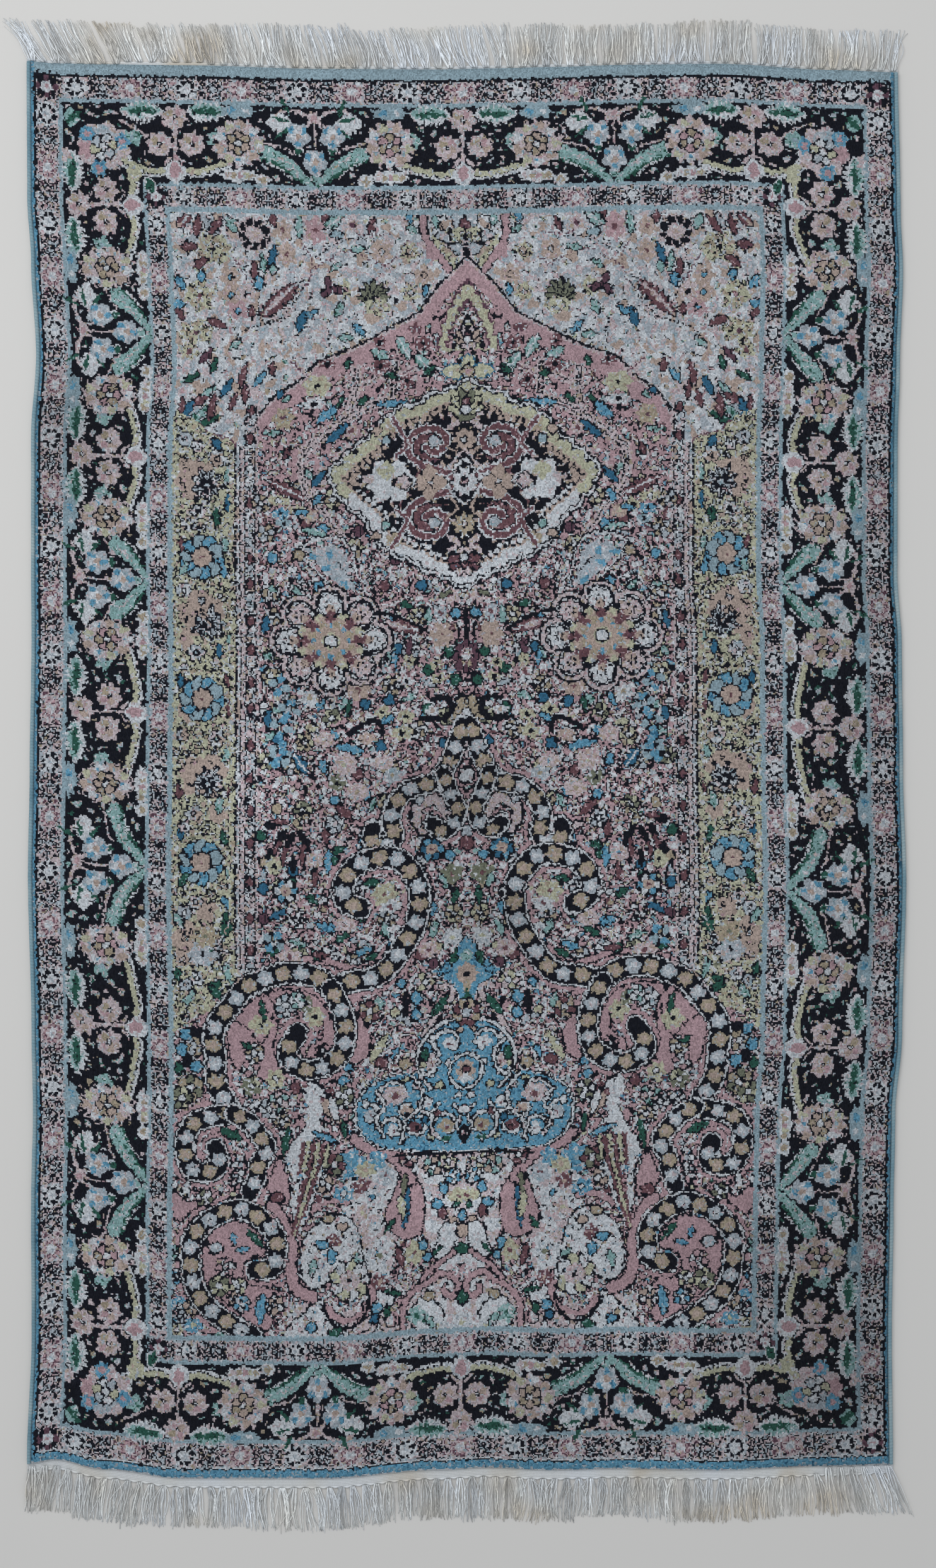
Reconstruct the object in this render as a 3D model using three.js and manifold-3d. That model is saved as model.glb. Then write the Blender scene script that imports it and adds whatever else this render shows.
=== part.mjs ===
// A hand-knotted pile rug lying flat: the knotted body, an overcast cord down each side, and at
// each end a narrow flat-woven web whose warps run on as a knotted fringe.
// Millimetres: X across the rug, Y up its length from foot to head, Z up from the surface it lies on.

import * as THREE from 'three';
import Module from 'manifold-3d';

const wasm = await Module();
wasm.setup();

// Whole rug without its fringe
const RUG_WIDTH = 940;
const RUG_LENGTH = 1517;
const RUG_THICKNESS = 7;
const PIECE_GAP = 0.3;

// Knotted body: its pile rounds down to the ground along the rim
const RIM_WIDTH = 4;
const RIM_DROP = 2;

// Overcast side cord, flat underneath
const CORD_WIDTH = 5;
const CORD_HEIGHT = 6;
const CORD_OUTLINE = [
  { out: -0.5, low: 0.3, high: 0.7 },
  { out: -0.3, low: 0, high: 0.95 },
  { out: 0.3, low: 0, high: 0.95 },
  { out: 0.5, low: 0.3, high: 0.7 },
];

// Flat-woven web and warp bunches at each end, each bunch parted into ridged locks beyond its knot
const WEB_THICKNESS = 2.6;
const BUNCHES = 73;
const LOCKS_PER_BUNCH = 2;
const LOCK_WIDTH_SHARE = 0.8;
const LOCK_HEIGHT = 3;
const LOCK_ROOT = 1.5;
const LENGTH_WAVE = { share: 0.06, across: 230 };
const LENGTH_SCATTER = 0.05;
const LEAN_SCATTER = 0.006;
const LOCK_BOW = { depth: 1.2, across: 380 };

// How far the side edges stray from straight, by the distance up from the foot end
const SIDE_LINE = [
  { up: 0, left: -4.5, right: -7.5 },
  { up: 143, left: 0.7, right: -8.9 },
  { up: 279, left: 0, right: -6.8 },
  { up: 380, left: 2, right: -5 },
  { up: 470, left: 0.5, right: 2.4 },
  { up: 637, left: -3.4, right: 6.8 },
  { up: 756, left: -1.4, right: 3.4 },
  { up: 892, left: 0.5, right: 2 },
  { up: 970, left: 0, right: -2.7 },
  { up: 1110, left: 0, right: -2.5 },
  { up: 1199, left: 5.4, right: 0 },
  { up: 1301, left: 0, right: 3.4 },
  { up: 1369, left: -4.1, right: 0.7 },
  { up: 1517, left: -4.8, right: -2 },
];

// How far the end edges stray towards the head, by the distance across from the middle
const END_LINE = [
  { across: -470, foot: 6.5, head: 6.1 },
  { across: -439, foot: 10.9, head: 3.4 },
  { across: -387, foot: 0.7, head: 2.4 },
  { across: -300, foot: -9, head: 1.5 },
  { across: -148, foot: -9.5, head: -2.4 },
  { across: -26, foot: 0, head: -3.1 },
  { across: 29, foot: 2.7, head: -2 },
  { across: 97, foot: 0, head: -0.5 },
  { across: 178, foot: 1.6, head: 2 },
  { across: 274, foot: -0.3, head: 3.1 },
  { across: 403, foot: 4.1, head: -3.7 },
  { across: 470, foot: 6.1, head: -6.1 },
];

// Low waves in the top of the pile
const PILE_WAVES = [
  { height: 0.35, across: 610, along: 480, turn: 0.4 },
  { height: 0.2, across: 260, along: 350, turn: 2.1 },
];

// Both ends: the web's width, the fringe's mean length and the sideways lean of its locks
const ENDS = [
  {
    name: 'fringe_top', outward: 1, web: 3.5, length: 42,
    leans: [
      { across: -470, lean: -0.62 },
      { across: -385, lean: -0.48 },
      { across: -310, lean: -0.26 },
      { across: -200, lean: -0.25 },
      { across: -60, lean: -0.33 },
      { across: 15, lean: -0.28 },
      { across: 75, lean: -0.02 },
      { across: 300, lean: 0.03 },
      { across: 470, lean: 0.1 },
    ],
  },
  {
    name: 'fringe_bottom', outward: -1, web: 10, length: 44,
    leans: [
      { across: -470, lean: -0.14 },
      { across: -340, lean: -0.11 },
      { across: -240, lean: 0.07 },
      { across: -100, lean: 0.05 },
      { across: 100, lean: -0.02 },
      { across: 330, lean: 0.04 },
      { across: 400, lean: 0.16 },
      { across: 465, lean: 0.42 },
    ],
  },
];

// Sections of one lock from its knot to its tip, as shares of its length, width and height
const LOCK_SECTIONS = [
  { along: 0, width: 1, height: 1.3 },
  { along: 0.16, width: 1, height: 1.2 },
  { along: 0.65, width: 0.98, height: 0.85 },
  { along: 1, width: 0.3, height: 0.5 },
];

/** Value of one column of a table at a place, eased smoothly from row to row. */
function follow(table, key, column, at) {
  const last = table.length - 1;
  if (at <= table[0][key]) return table[0][column];
  if (at >= table[last][key]) return table[last][column];
  const after = table.findIndex((row) => row[key] > at);
  const [low, high] = [table[after - 1], table[after]];
  const share = (at - low[key]) / (high[key] - low[key]);
  return THREE.MathUtils.lerp(low[column], high[column], THREE.MathUtils.smoothstep(share, 0, 1));
}

/** Place in the plan of a point of the straight rug, moved as its sides and ends stray. */
function inPlan(across, up) {
  const side = THREE.MathUtils.clamp(across / RUG_WIDTH + 0.5, 0, 1);
  const end = THREE.MathUtils.clamp(up / RUG_LENGTH, 0, 1);
  const sideways = THREE.MathUtils.lerp(
    follow(SIDE_LINE, 'up', 'left', up), follow(SIDE_LINE, 'up', 'right', up), side);
  const endways = THREE.MathUtils.lerp(
    follow(END_LINE, 'across', 'foot', across), follow(END_LINE, 'across', 'head', across), end);
  return [across + sideways, up + endways];
}

/** Closed solid through sections, each a row of lower points under as many upper ones or a ridge. */
function loft(sections) {
  const count = sections[0].lower.length;
  const ring = count + sections[0].upper.length;
  const last = (sections.length - 1) * ring;
  const points = sections.flatMap(({ lower, upper }) => [...lower, ...upper.toReversed()]);
  const triangles = [];
  const quad = (a, b, c, d) => {
    triangles.push(a, b, c);
    if (c !== d) triangles.push(a, c, d);
  };
  for (let start = 0; start < last; start += ring) {
    for (let i = 0; i < ring; i++) {
      const j = (i + 1) % ring;
      quad(start + j, start + i, start + ring + i, start + ring + j);
    }
  }
  for (let i = 0; i + 1 < count; i++) {
    const above = ring - 1 - i;
    const next = Math.max(above - 1, count);
    quad(i, i + 1, next, above);
    quad(last + i + 1, last + i, last + above, last + next);
  }
  const geometry = new THREE.BufferGeometry();
  geometry.setAttribute('position', new THREE.Float32BufferAttribute(points.flat(), 3));
  geometry.setIndex(triangles);
  return geometry;
}

/** The places of a table's rows and the middles between them that lie between two values. */
function placesBetween(table, key, low, high) {
  const places = table.map((row) => row[key]);
  const middles = places.slice(1).map((place, i) => (place + places[i]) / 2);
  return [...places, ...middles].filter((at) => at > low && at < high).sort((a, b) => a - b);
}

/** A repeatable value from -1 to 1 for a whole number. */
function scatter(number) {
  return 2 * (Math.abs(Math.sin(number * 12.9898) * 43758.5453) % 1) - 1;
}

/** A sine of a place over a wavelength, shifted by a turn in radians. */
function wave(at, length, turn = 0) {
  return Math.sin((2 * Math.PI * at) / length + turn);
}

/** Height of the pile at a point of the straight rug, lower on the rim. */
function pileHeight(across, up, toRim) {
  const swell = PILE_WAVES.reduce((sum, row) =>
    sum + row.height * wave(across, row.across, row.turn) * wave(up, row.along, Math.PI / 2), 0);
  const drop = toRim < RIM_WIDTH / 2 ? RIM_DROP : 0;
  return RUG_THICKNESS - drop + swell;
}

// Lines across and up the straight rug that all pieces share, so that their edges match
const BODY_HALF = RUG_WIDTH / 2 - CORD_WIDTH - PIECE_GAP;
const INNER_HALF = BODY_HALF - RIM_WIDTH;
const INNER_COLUMNS = placesBetween(END_LINE, 'across', -INNER_HALF, INNER_HALF);
const COLUMNS = [-BODY_HALF, -INNER_HALF, ...INNER_COLUMNS, INNER_HALF, BODY_HALF];
const INNER_ROWS = placesBetween(SIDE_LINE, 'up', RIM_WIDTH, RUG_LENGTH - RIM_WIDTH);
const ROWS = [0, RIM_WIDTH, ...INNER_ROWS, RUG_LENGTH - RIM_WIDTH, RUG_LENGTH];

/** The knotted body, a slab with a flat underside and gently uneven pile. */
function rugBody() {
  return loft(ROWS.map((up) => {
    const toEnd = Math.min(up, RUG_LENGTH - up);
    const lower = COLUMNS.map((across) => [...inPlan(across, up), 0]);
    const upper = COLUMNS.map((across) => {
      const toRim = Math.min(BODY_HALF - Math.abs(across), toEnd);
      return [...inPlan(across, up), pileHeight(across, up, toRim)];
    });
    return { lower, upper };
  }));
}

/** An overcast cord down one side: side is -1 on the left and 1 on the right. */
function sideCord(side) {
  const middle = side * (RUG_WIDTH - CORD_WIDTH) / 2;
  return loft(ROWS.map((up) => {
    const point = (out, share) => [...inPlan(middle + out * CORD_WIDTH, up), share * CORD_HEIGHT];
    return {
      lower: CORD_OUTLINE.map(({ out, low }) => point(out, low)),
      upper: CORD_OUTLINE.map(({ out, high }) => point(out, high)),
    };
  }));
}

/** Edge of the body at one end, and the point a given distance out from it. */
function beyondEnd(end, across, distance) {
  const [x, y] = inPlan(across, end.outward > 0 ? RUG_LENGTH : 0);
  return [x, y + end.outward * (PIECE_GAP + distance)];
}

/** The flat-woven web at one end. */
function web(end) {
  const half = RUG_WIDTH / 2;
  const columns = [-half, CORD_WIDTH - half, ...COLUMNS, half - CORD_WIDTH, half];
  const [upper, lower] = end.outward > 0 ? [end.web, 0] : [0, end.web];
  return loft(columns.map((across) => {
    const [high, low] = [beyondEnd(end, across, upper), beyondEnd(end, across, lower)];
    return {
      lower: [[...high, 0], [...low, 0]],
      upper: [[...high, WEB_THICKNESS], [...low, WEB_THICKNESS]],
    };
  }));
}

/** One lock of the fringe, lying level from its knot in the web to its tip. */
function lock(end, number, across, pitch) {
  const width = pitch * LOCK_WIDTH_SHARE;
  const uneven = LENGTH_WAVE.share * wave(across, LENGTH_WAVE.across) + LENGTH_SCATTER * scatter(number);
  const length = end.length * (1 + uneven);
  const lean = follow(end.leans, 'across', 'lean', across) + LEAN_SCATTER * scatter(number + BUNCHES);
  const bow = LOCK_BOW.depth * wave(across, LOCK_BOW.across);
  return loft(LOCK_SECTIONS.map((section) => {
    const out = section.along * length;
    const [rootX, y] = beyondEnd(end, across, end.web - LOCK_ROOT + out);
    const x = rootX + lean * out + bow * Math.sin(Math.PI * section.along);
    const wide = end.outward * width * section.width / 2;
    return {
      lower: [[x - wide, y, 0], [x + wide, y, 0]],
      upper: [[x, y, LOCK_HEIGHT * section.height]],
    };
  }));
}

/** The web of one end with all its locks, joined into one solid. */
function fringe(end) {
  const count = BUNCHES * LOCKS_PER_BUNCH;
  const pitch = RUG_WIDTH / count;
  const locks = Array.from({ length: count }, (_, number) =>
    lock(end, number, (number + 0.5) * pitch - RUG_WIDTH / 2, pitch));
  const solids = [web(end), ...locks].map(toSolid);
  return toGeometry(wasm.Manifold.union(solids));
}

/** A geometry as a solid that can be joined. */
function toSolid(geometry) {
  const vertProperties = new Float32Array(geometry.attributes.position.array);
  const triVerts = new Uint32Array(geometry.index.array);
  return new wasm.Manifold(new wasm.Mesh({ numProp: 3, vertProperties, triVerts }));
}

/** A joined solid as a geometry. */
function toGeometry(solid) {
  const { vertProperties, triVerts } = solid.getMesh();
  const geometry = new THREE.BufferGeometry();
  geometry.setAttribute('position', new THREE.BufferAttribute(vertProperties, 3));
  geometry.setIndex(new THREE.BufferAttribute(triVerts, 1));
  return geometry;
}

/** A named piece with its own material. */
function piece(name, geometry, color, roughness) {
  geometry.computeVertexNormals();
  const material = new THREE.MeshStandardMaterial({ color, roughness, metalness: 0 });
  const mesh = new THREE.Mesh(geometry, material);
  mesh.name = name;
  return mesh;
}

const rug = new THREE.Group();
rug.add(piece('rug_body', rugBody(), 0xb09a96, 0.75));
rug.add(piece('selvedge_left', sideCord(-1), 0x8fb0c4, 0.85));
rug.add(piece('selvedge_right', sideCord(1), 0x8fb0c4, 0.85));
for (const end of ENDS) {
  rug.add(piece(end.name, fringe(end), 0xd8d6d0, 0.9));
}

// The origin is under the middle of the whole rug, fringe included
const middle = new THREE.Box3().setFromObject(rug).getCenter(new THREE.Vector3());
rug.position.set(-middle.x, -middle.y, 0);

export default rug;
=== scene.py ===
"""Knotted Kashmir rug in silk colours, lying flat on a pale floor."""

import bpy
import numpy as np
from bpy.props import FloatProperty, FloatVectorProperty, IntProperty, PointerProperty
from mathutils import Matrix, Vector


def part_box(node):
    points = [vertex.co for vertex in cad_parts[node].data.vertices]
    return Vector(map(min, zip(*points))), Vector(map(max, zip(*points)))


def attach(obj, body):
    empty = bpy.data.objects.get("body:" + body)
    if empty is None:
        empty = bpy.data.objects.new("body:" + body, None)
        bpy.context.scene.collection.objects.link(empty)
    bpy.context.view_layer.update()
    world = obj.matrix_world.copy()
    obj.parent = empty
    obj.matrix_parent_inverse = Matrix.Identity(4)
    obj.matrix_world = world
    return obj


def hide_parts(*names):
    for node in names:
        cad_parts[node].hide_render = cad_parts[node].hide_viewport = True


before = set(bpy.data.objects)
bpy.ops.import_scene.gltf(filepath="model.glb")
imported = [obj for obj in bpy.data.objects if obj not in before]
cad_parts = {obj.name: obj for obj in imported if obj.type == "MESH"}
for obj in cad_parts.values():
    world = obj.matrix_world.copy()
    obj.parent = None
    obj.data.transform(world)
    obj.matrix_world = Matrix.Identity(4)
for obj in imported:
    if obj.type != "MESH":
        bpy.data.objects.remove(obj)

bl_info = {
    "name": "Kashmir Rug",
    "version": (1, 0, 0),
    "blender": (4, 5, 0),
    "location": "3D View > Sidebar > Rug",
    "description": "A knotted rug with a charted pile, corded sides and a warp fringe",
    "category": "Add Mesh",
}

# Size of the rug, as in its CAD solids. Metres: X across, Y from foot to head

RUG_WIDTH = 0.940
RUG_LENGTH = 1.517
RUG_THICKNESS = 0.007
PIECE_GAP = 0.0003
RIM_DROP = 0.002
RIM_WIDTH = 0.003
CORD_WIDTH = 0.005
CORD_HEIGHT = 0.006
BODY_HALF = RUG_WIDTH / 2 - CORD_WIDTH - PIECE_GAP
KNOT = 0.0013618
WEB_THICKNESS = 0.0026
BUNCHES = 73
SIDE_LINE = np.array([  # up from the foot end, stray of the left side, stray of the right side
    (0, -4.5, -7.5), (143, 0.7, -8.9), (279, 0, -6.8), (380, 2, -5), (470, 0.5, 2.4),
    (637, -3.4, 6.8), (756, -1.4, 3.4), (892, 0.5, 2), (970, 0, -2.7), (1110, 0, -2.5),
    (1199, 5.4, 0), (1301, 0, 3.4), (1369, -4.1, 0.7), (1517, -4.8, -2),
]) / 1000
END_LINE = np.array([  # across from the middle, stray of the foot end, stray of the head end
    (-470, 6.5, 6.1), (-439, 10.9, 3.4), (-387, 0.7, 2.4), (-300, -9, 1.5), (-148, -9.5, -2.4),
    (-26, 0, -3.1), (29, 2.7, -2), (97, 0, -0.5), (178, 1.6, 2), (274, -0.3, 3.1), (403, 4.1, -3.7),
    (470, 6.1, -6.1),
]) / 1000
PILE_WAVES = ((0.00035, 0.61, 0.48, 0.4), (0.0002, 0.26, 0.35, 2.1))  # height, across, along, turn
ENDS = {  # outward, the web's depth, the threads' length, ribs of the web, a bunch's spread to each
    # side, share of stray threads; across the rug: where on the web threads start, how they lean
    "top": {
        "outward": 1, "web": 0.0035, "length": 0.042, "ribs": 2, "spread": 0.0058, "strays": 0.07,
        "roots": ((-0.47, 0.1), (-0.37, 0.1), (-0.36, 1), (-0.28, 1), (-0.27, 0.3), (0.47, 0.3)),
        "leans": ((-0.47, -0.62), (-0.385, -0.48), (-0.31, -0.26), (-0.2, -0.25), (-0.06, -0.33),
                  (0.015, -0.28), (0.075, -0.02), (0.3, 0.03), (0.47, 0.1)),
    },
    "bottom": {
        "outward": -1, "web": 0.010, "length": 0.044, "ribs": 6, "spread": 0.0054, "strays": 0.12,
        "roots": ((-0.47, 0.15), (-0.44, 0.6), (-0.41, 1), (0.385, 1), (0.39, 0.1), (0.47, 0.1)),
        "leans": ((-0.47, -0.14), (-0.34, -0.11), (-0.24, 0.07), (-0.1, 0.05), (0.1, -0.02),
                  (0.33, 0.04), (0.4, 0.16), (0.465, 0.42)),
    },
}


# Knot chart: one dye for each knot of the pile, drawn motif by motif

KNOTS_ACROSS = 684
KNOTS_ALONG = 1116
MIDDLE = KNOTS_ACROSS // 2
ROWS = np.arange(KNOTS_ALONG)[:, None]
DYE_COUNT = 16
(INK, IVORY, SILVER, BLUSH, ROSE, PEACH, CAMEL, GOLD,
 RUST, SKY, HAZE, LAKE, MINT, LEAF, MOSS, PLUM) = range(DYE_COUNT)
QUARTER = np.pi / 2


def curve(points, steps=8, closed=False):
    """Points of a smooth curve through a few given ones."""
    given = np.array(points, float)
    if closed:
        given = np.vstack([given[-1:], given, given[:2]])
    else:
        given = np.vstack([2 * given[0] - given[1], given, 2 * given[-1] - given[-2]])
    t = np.linspace(0, 1, steps, endpoint=False)[:, None]
    arcs = [0.5 * (2 * b + (c - a) * t + (2 * a - 5 * b + 4 * c - d) * t ** 2
                   + (3 * b - a - 3 * c + d) * t ** 3)
            for a, b, c, d in zip(given, given[1:], given[2:], given[3:])]
    return np.vstack(arcs + [given[-2:-1]])


def spaced(path, step, start=0.0):
    """Places a step apart along a path, with the direction of the path at each."""
    legs = np.hypot(*np.diff(path, axis=0).T)
    walked = np.concatenate([[0], np.cumsum(legs)])
    stops = np.arange(start, walked[-1], step)
    xs = np.interp(stops, walked, path[:, 0])
    rs = np.interp(stops, walked, path[:, 1])
    leg = np.clip(np.searchsorted(walked, stops, side="right") - 1, 0, len(legs) - 1)
    heading = np.diff(path, axis=0)[leg]
    return list(zip(xs, rs, np.arctan2(heading[:, 1], heading[:, 0])))


class Chart:
    """A grid of knots. x counts columns from the middle line, r counts rows from the head end."""

    def __init__(self, rows, columns, left, dye):
        self.knots = np.full((rows, columns), dye, np.uint8)
        self.left = left

    def window(self, x, r, reach):
        """The knots within reach of a place, with each one's offset across and along from it."""
        rows, columns = self.knots.shape
        first = np.clip([int(x - self.left - reach), int(r - reach)], 0, [columns, rows])
        last = np.clip([int(x - self.left + reach) + 2, int(r + reach) + 2], 0, [columns, rows])
        dx = np.arange(first[0], last[0]) + self.left + 0.5 - x
        dr = np.arange(first[1], last[1])[:, None] + 0.5 - r
        return self.knots[first[1]:last[1], first[0]:last[0]], dx, dr

    def star(self, x, r, wide, tall, dye, petals=0, depth=0.25, turn=0.0, rim=None):
        """A round or petalled spot, with a rim one knot wide in another dye if wished."""
        if rim is not None:
            self.star(x, r, wide + 1.2, tall + 1.2, rim, petals, depth * 0.8, turn)
        part, dx, dr = self.window(x, r, max(wide, tall) + 1)
        bearing = np.arctan2(dr / tall, dx / wide) - turn
        edge = 1 - depth * (0.5 - 0.5 * np.cos(petals * bearing))
        part[np.hypot(dx / wide, dr / tall) < edge] = dye

    def leaf(self, x, r, length, width, turn, dye, rim=None, teeth=0, vein=None, bend=0.0):
        """A pointed leaf that grows from its stem in a direction, toothed or bent if wished."""
        ahead = np.array([np.cos(turn), np.sin(turn)])
        if rim is not None:
            start = np.array([x, r]) - 1.2 * ahead
            self.leaf(*start, length + 2.6, width + 2.6, turn, rim, None, teeth, None, bend)
        part, dx, dr = self.window(x, r, length + width)
        along = (dx * ahead[0] + dr * ahead[1]) / length
        aside = dr * ahead[0] - dx * ahead[1] - bend * length * along * (1 - along)
        half = width / 2 * np.sin(np.pi * np.clip(along, 0, 1)) ** 0.7
        if teeth:
            half = half * (0.55 + 0.45 * (along * teeth % 1))
        inside = (along > 0) & (along < 1) & (np.abs(aside) < half)
        part[inside] = dye
        if vein is not None:
            part[inside & (np.abs(aside) < 0.7)] = vein

    def line(self, path, width, dye, dash=None):
        """A line along a path, broken into dashes of some knots on and some off if wished."""
        walked = 0.0
        half = max(width / 2, 0.6)
        for (x0, r0), (x1, r1) in zip(path, path[1:]):
            span = max(np.hypot(x1 - x0, r1 - r0), 1e-6)
            ahead = (x1 - x0) / span, (r1 - r0) / span
            part, dx, dr = self.window((x0 + x1) / 2, (r0 + r1) / 2, span / 2 + half + 1)
            along = dx * ahead[0] + dr * ahead[1]
            aside = dr * ahead[0] - dx * ahead[1]
            near = np.hypot(np.maximum(np.abs(along) - span / 2, 0), aside) < half
            if dash:
                near &= (walked + along + span / 2) % sum(dash) < dash[0]
            part[near] = dye
            walked += span

    def inside(self, points):
        """True for every knot within a closed outline."""
        rows, columns = self.knots.shape
        across = np.arange(columns) + self.left + 0.5
        down = np.arange(rows)[:, None] + 0.5
        held = np.zeros((rows, columns), bool)
        for (x0, r0), (x1, r1) in zip(points, np.roll(points, -1, axis=0)):
            if r0 == r1:
                continue
            crossed = (r0 > down) != (r1 > down)
            held ^= crossed & (across < (x1 - x0) * (down - r0) / (r1 - r0) + x0)
        return held

    def area(self, points, dye):
        """An outline filled with a dye."""
        self.knots[self.inside(np.asarray(points, float))] = dye


class Placed:
    """A chart seen from a place on it, with its own two directions: along and out."""

    def __init__(self, chart, x, r, along, out):
        self.chart = chart
        self.start = np.array([x, r], float)
        self.turned = np.array([along, out], float)

    def at(self, a, b):
        return self.start + np.array([a, b]) @ self.turned

    def heading(self, turn):
        x, r = np.array([np.cos(turn), np.sin(turn)]) @ self.turned
        return np.arctan2(r, x)

    def star(self, a, b, long, deep, dye, *more, **ways):
        wide, tall = np.abs(np.array([long, deep]) @ self.turned)
        self.chart.star(*self.at(a, b), wide, tall, dye, *more, **ways)

    def leaf(self, a, b, length, width, turn, dye, *more, **ways):
        self.chart.leaf(*self.at(a, b), length, width, self.heading(turn), dye, *more, **ways)

    def line(self, path, width, dye, **ways):
        self.chart.line([self.at(a, b) for a, b in path], width, dye, **ways)


# What fills a ground: hills of random noise cut at heights

NONE_PALE = -9


def texture(rng, shape, size):
    """Smooth random hills over a grid, about a size apart, with heights of spread one."""
    rows = np.fft.fftfreq(shape[0])[:, None] * size
    columns = np.fft.fftfreq(shape[1]) * size
    band = np.exp(-4 * (np.hypot(rows, columns) - 1) ** 2)
    hills = np.fft.ifft2(np.fft.fft2(rng.normal(size=shape)) * band).real
    return hills / hills.std()


def picked(kinds, dyes):
    """One of a few dyes for each knot, by the height of a hill there."""
    choice = np.clip(((kinds + 1.6) / 3.2 * len(dyes)).astype(int), 0, len(dyes) - 1)
    return np.array(dyes, np.uint8)[choice]


def squiggle(on, held, rng, size, wide):
    """Dark crooked lines all over a pale ground, with a few grey and rosy specks."""
    hills = texture(rng, on.knots.shape, size)
    kinds = texture(rng, on.knots.shape, size * 3)
    on.knots[held & (hills > 1.3)] = SILVER
    on.knots[held & (hills > 1.3) & (kinds > 0.4)] = BLUSH
    on.knots[held & (np.abs(hills) < wide)] = INK


def mottle(on, held, rng, dye, dyes, size, share):
    """Patches of kindred dyes within everything of one dye; the higher the share, the fewer."""
    hills = texture(rng, on.knots.shape, size)
    kinds = texture(rng, on.knots.shape, size * 1.7)
    spots = held & (on.knots == dye) & (hills > share)
    on.knots[spots] = picked(kinds, dyes)[spots]


def tangle(on, held, rng, ground, dyes, size, thin, share, pale):
    """Fills a bare ground with crowded small shapes of many dyes in curled dark outlines.

    The ground stays bare on hills between the heights pale, under which it is ivory, and share,
    over which it is dyed.
    """
    bare = held & (on.knots == ground)
    hills = texture(rng, on.knots.shape, size)
    kinds = texture(rng, on.knots.shape, size * 1.5)
    spots = bare & (hills > share)
    on.knots[spots] = picked(kinds, dyes)[spots]
    on.knots[bare & (np.abs(hills - share) < thin)] = INK
    on.knots[bare & (hills < pale)] = IVORY
    on.knots[bare & (np.abs(hills - pale) < thin * 0.5)] = INK


def ragged(on, rng, size=6.0, sway=0.5):
    """Edges as knots give them: every shape strays by a knot here and there."""
    rows, columns = np.indices(on.knots.shape)
    stray = [np.rint(texture(rng, on.knots.shape, size) * sway).astype(int) for _way in range(2)]
    on.knots[:] = on.knots[np.clip(rows + stray[0], 0, on.knots.shape[0] - 1),
                           np.clip(columns + stray[1], 0, on.knots.shape[1] - 1)]


# Small motifs that recur all over the rug

def places_round(x, r, wide, tall, count, turn=0.0):
    """Numbered places, evenly spaced round an oval."""
    bearings = turn + np.arange(count) * 2 * np.pi / count
    return list(enumerate(zip(x + wide * np.cos(bearings), r + tall * np.sin(bearings))))


def ring_flower(on, x, r, size, dye, petals=6):
    """A round flower with a tiny dark ring for its eye."""
    on.star(x, r, size, size, dye, petals, 0.3, rim=INK)
    on.star(x, r, size * 0.38, size * 0.38, INK)
    on.star(x, r, size * 0.2, size * 0.2, IVORY)


def cluster(on, x, r, size, dyes, turn):
    """Six dark-edged berries round a pale heart."""
    for k, place in places_round(x, r, 0.62 * size, 0.62 * size, 6, turn):
        on.star(*place, size * 0.33, size * 0.33, dyes[k % len(dyes)], rim=INK)
    on.star(x, r, size * 0.24, size * 0.24, IVORY, rim=INK)


def daisy(on, x, r, size, dyes, count=8, heart=PEACH, eye=INK, turn=0.0, rim=INK):
    """A flower of separate petals round a broad heart."""
    for k, place in places_round(x, r, 0.68 * size, 0.68 * size, count, turn):
        on.star(*place, size * 0.32, size * 0.32, dyes[k % len(dyes)], rim=rim)
    on.star(x, r, size * 0.5, size * 0.5, heart)
    on.star(x, r, size * 0.12 + 0.4, size * 0.12 + 0.4, eye)


def palmette(on, x, r, size, turn, dyes):
    """A fan of petals that opens in one direction from a dark-edged heart."""
    on.star(x, r, size * 0.62, size * 0.62, dyes[1], rim=INK)
    for step in (-1.5, -0.9, -0.3, 0.3, 0.9, 1.5):
        dye = dyes[0] if abs(step) > 0.5 else dyes[1]
        on.leaf(x, r, size * (1.15 - 0.12 * abs(step)), size * 0.44, turn + step, dye, rim=INK)
    on.leaf(x, r, size * 0.62, size * 0.34, turn, RUST, rim=INK)
    on.star(x, r, size * 0.24, size * 0.24, IVORY, rim=INK)


def four_petals(on, x, r, turn):
    """Four blue petals with a dark speck after each."""
    petals, specks = places_round(x, r, 6, 6, 4, turn), places_round(x, r, 6, 6, 4, turn + 0.8)
    for (k, petal), (_k, speck) in zip(petals, specks):
        on.star(*petal, 3.4, 3.2, SKY if k % 2 else HAZE)
        on.star(*speck, 2.2, 2.2, INK, 4, 0.4)


# The borders. Knots from the middle line and from the head end

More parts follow.
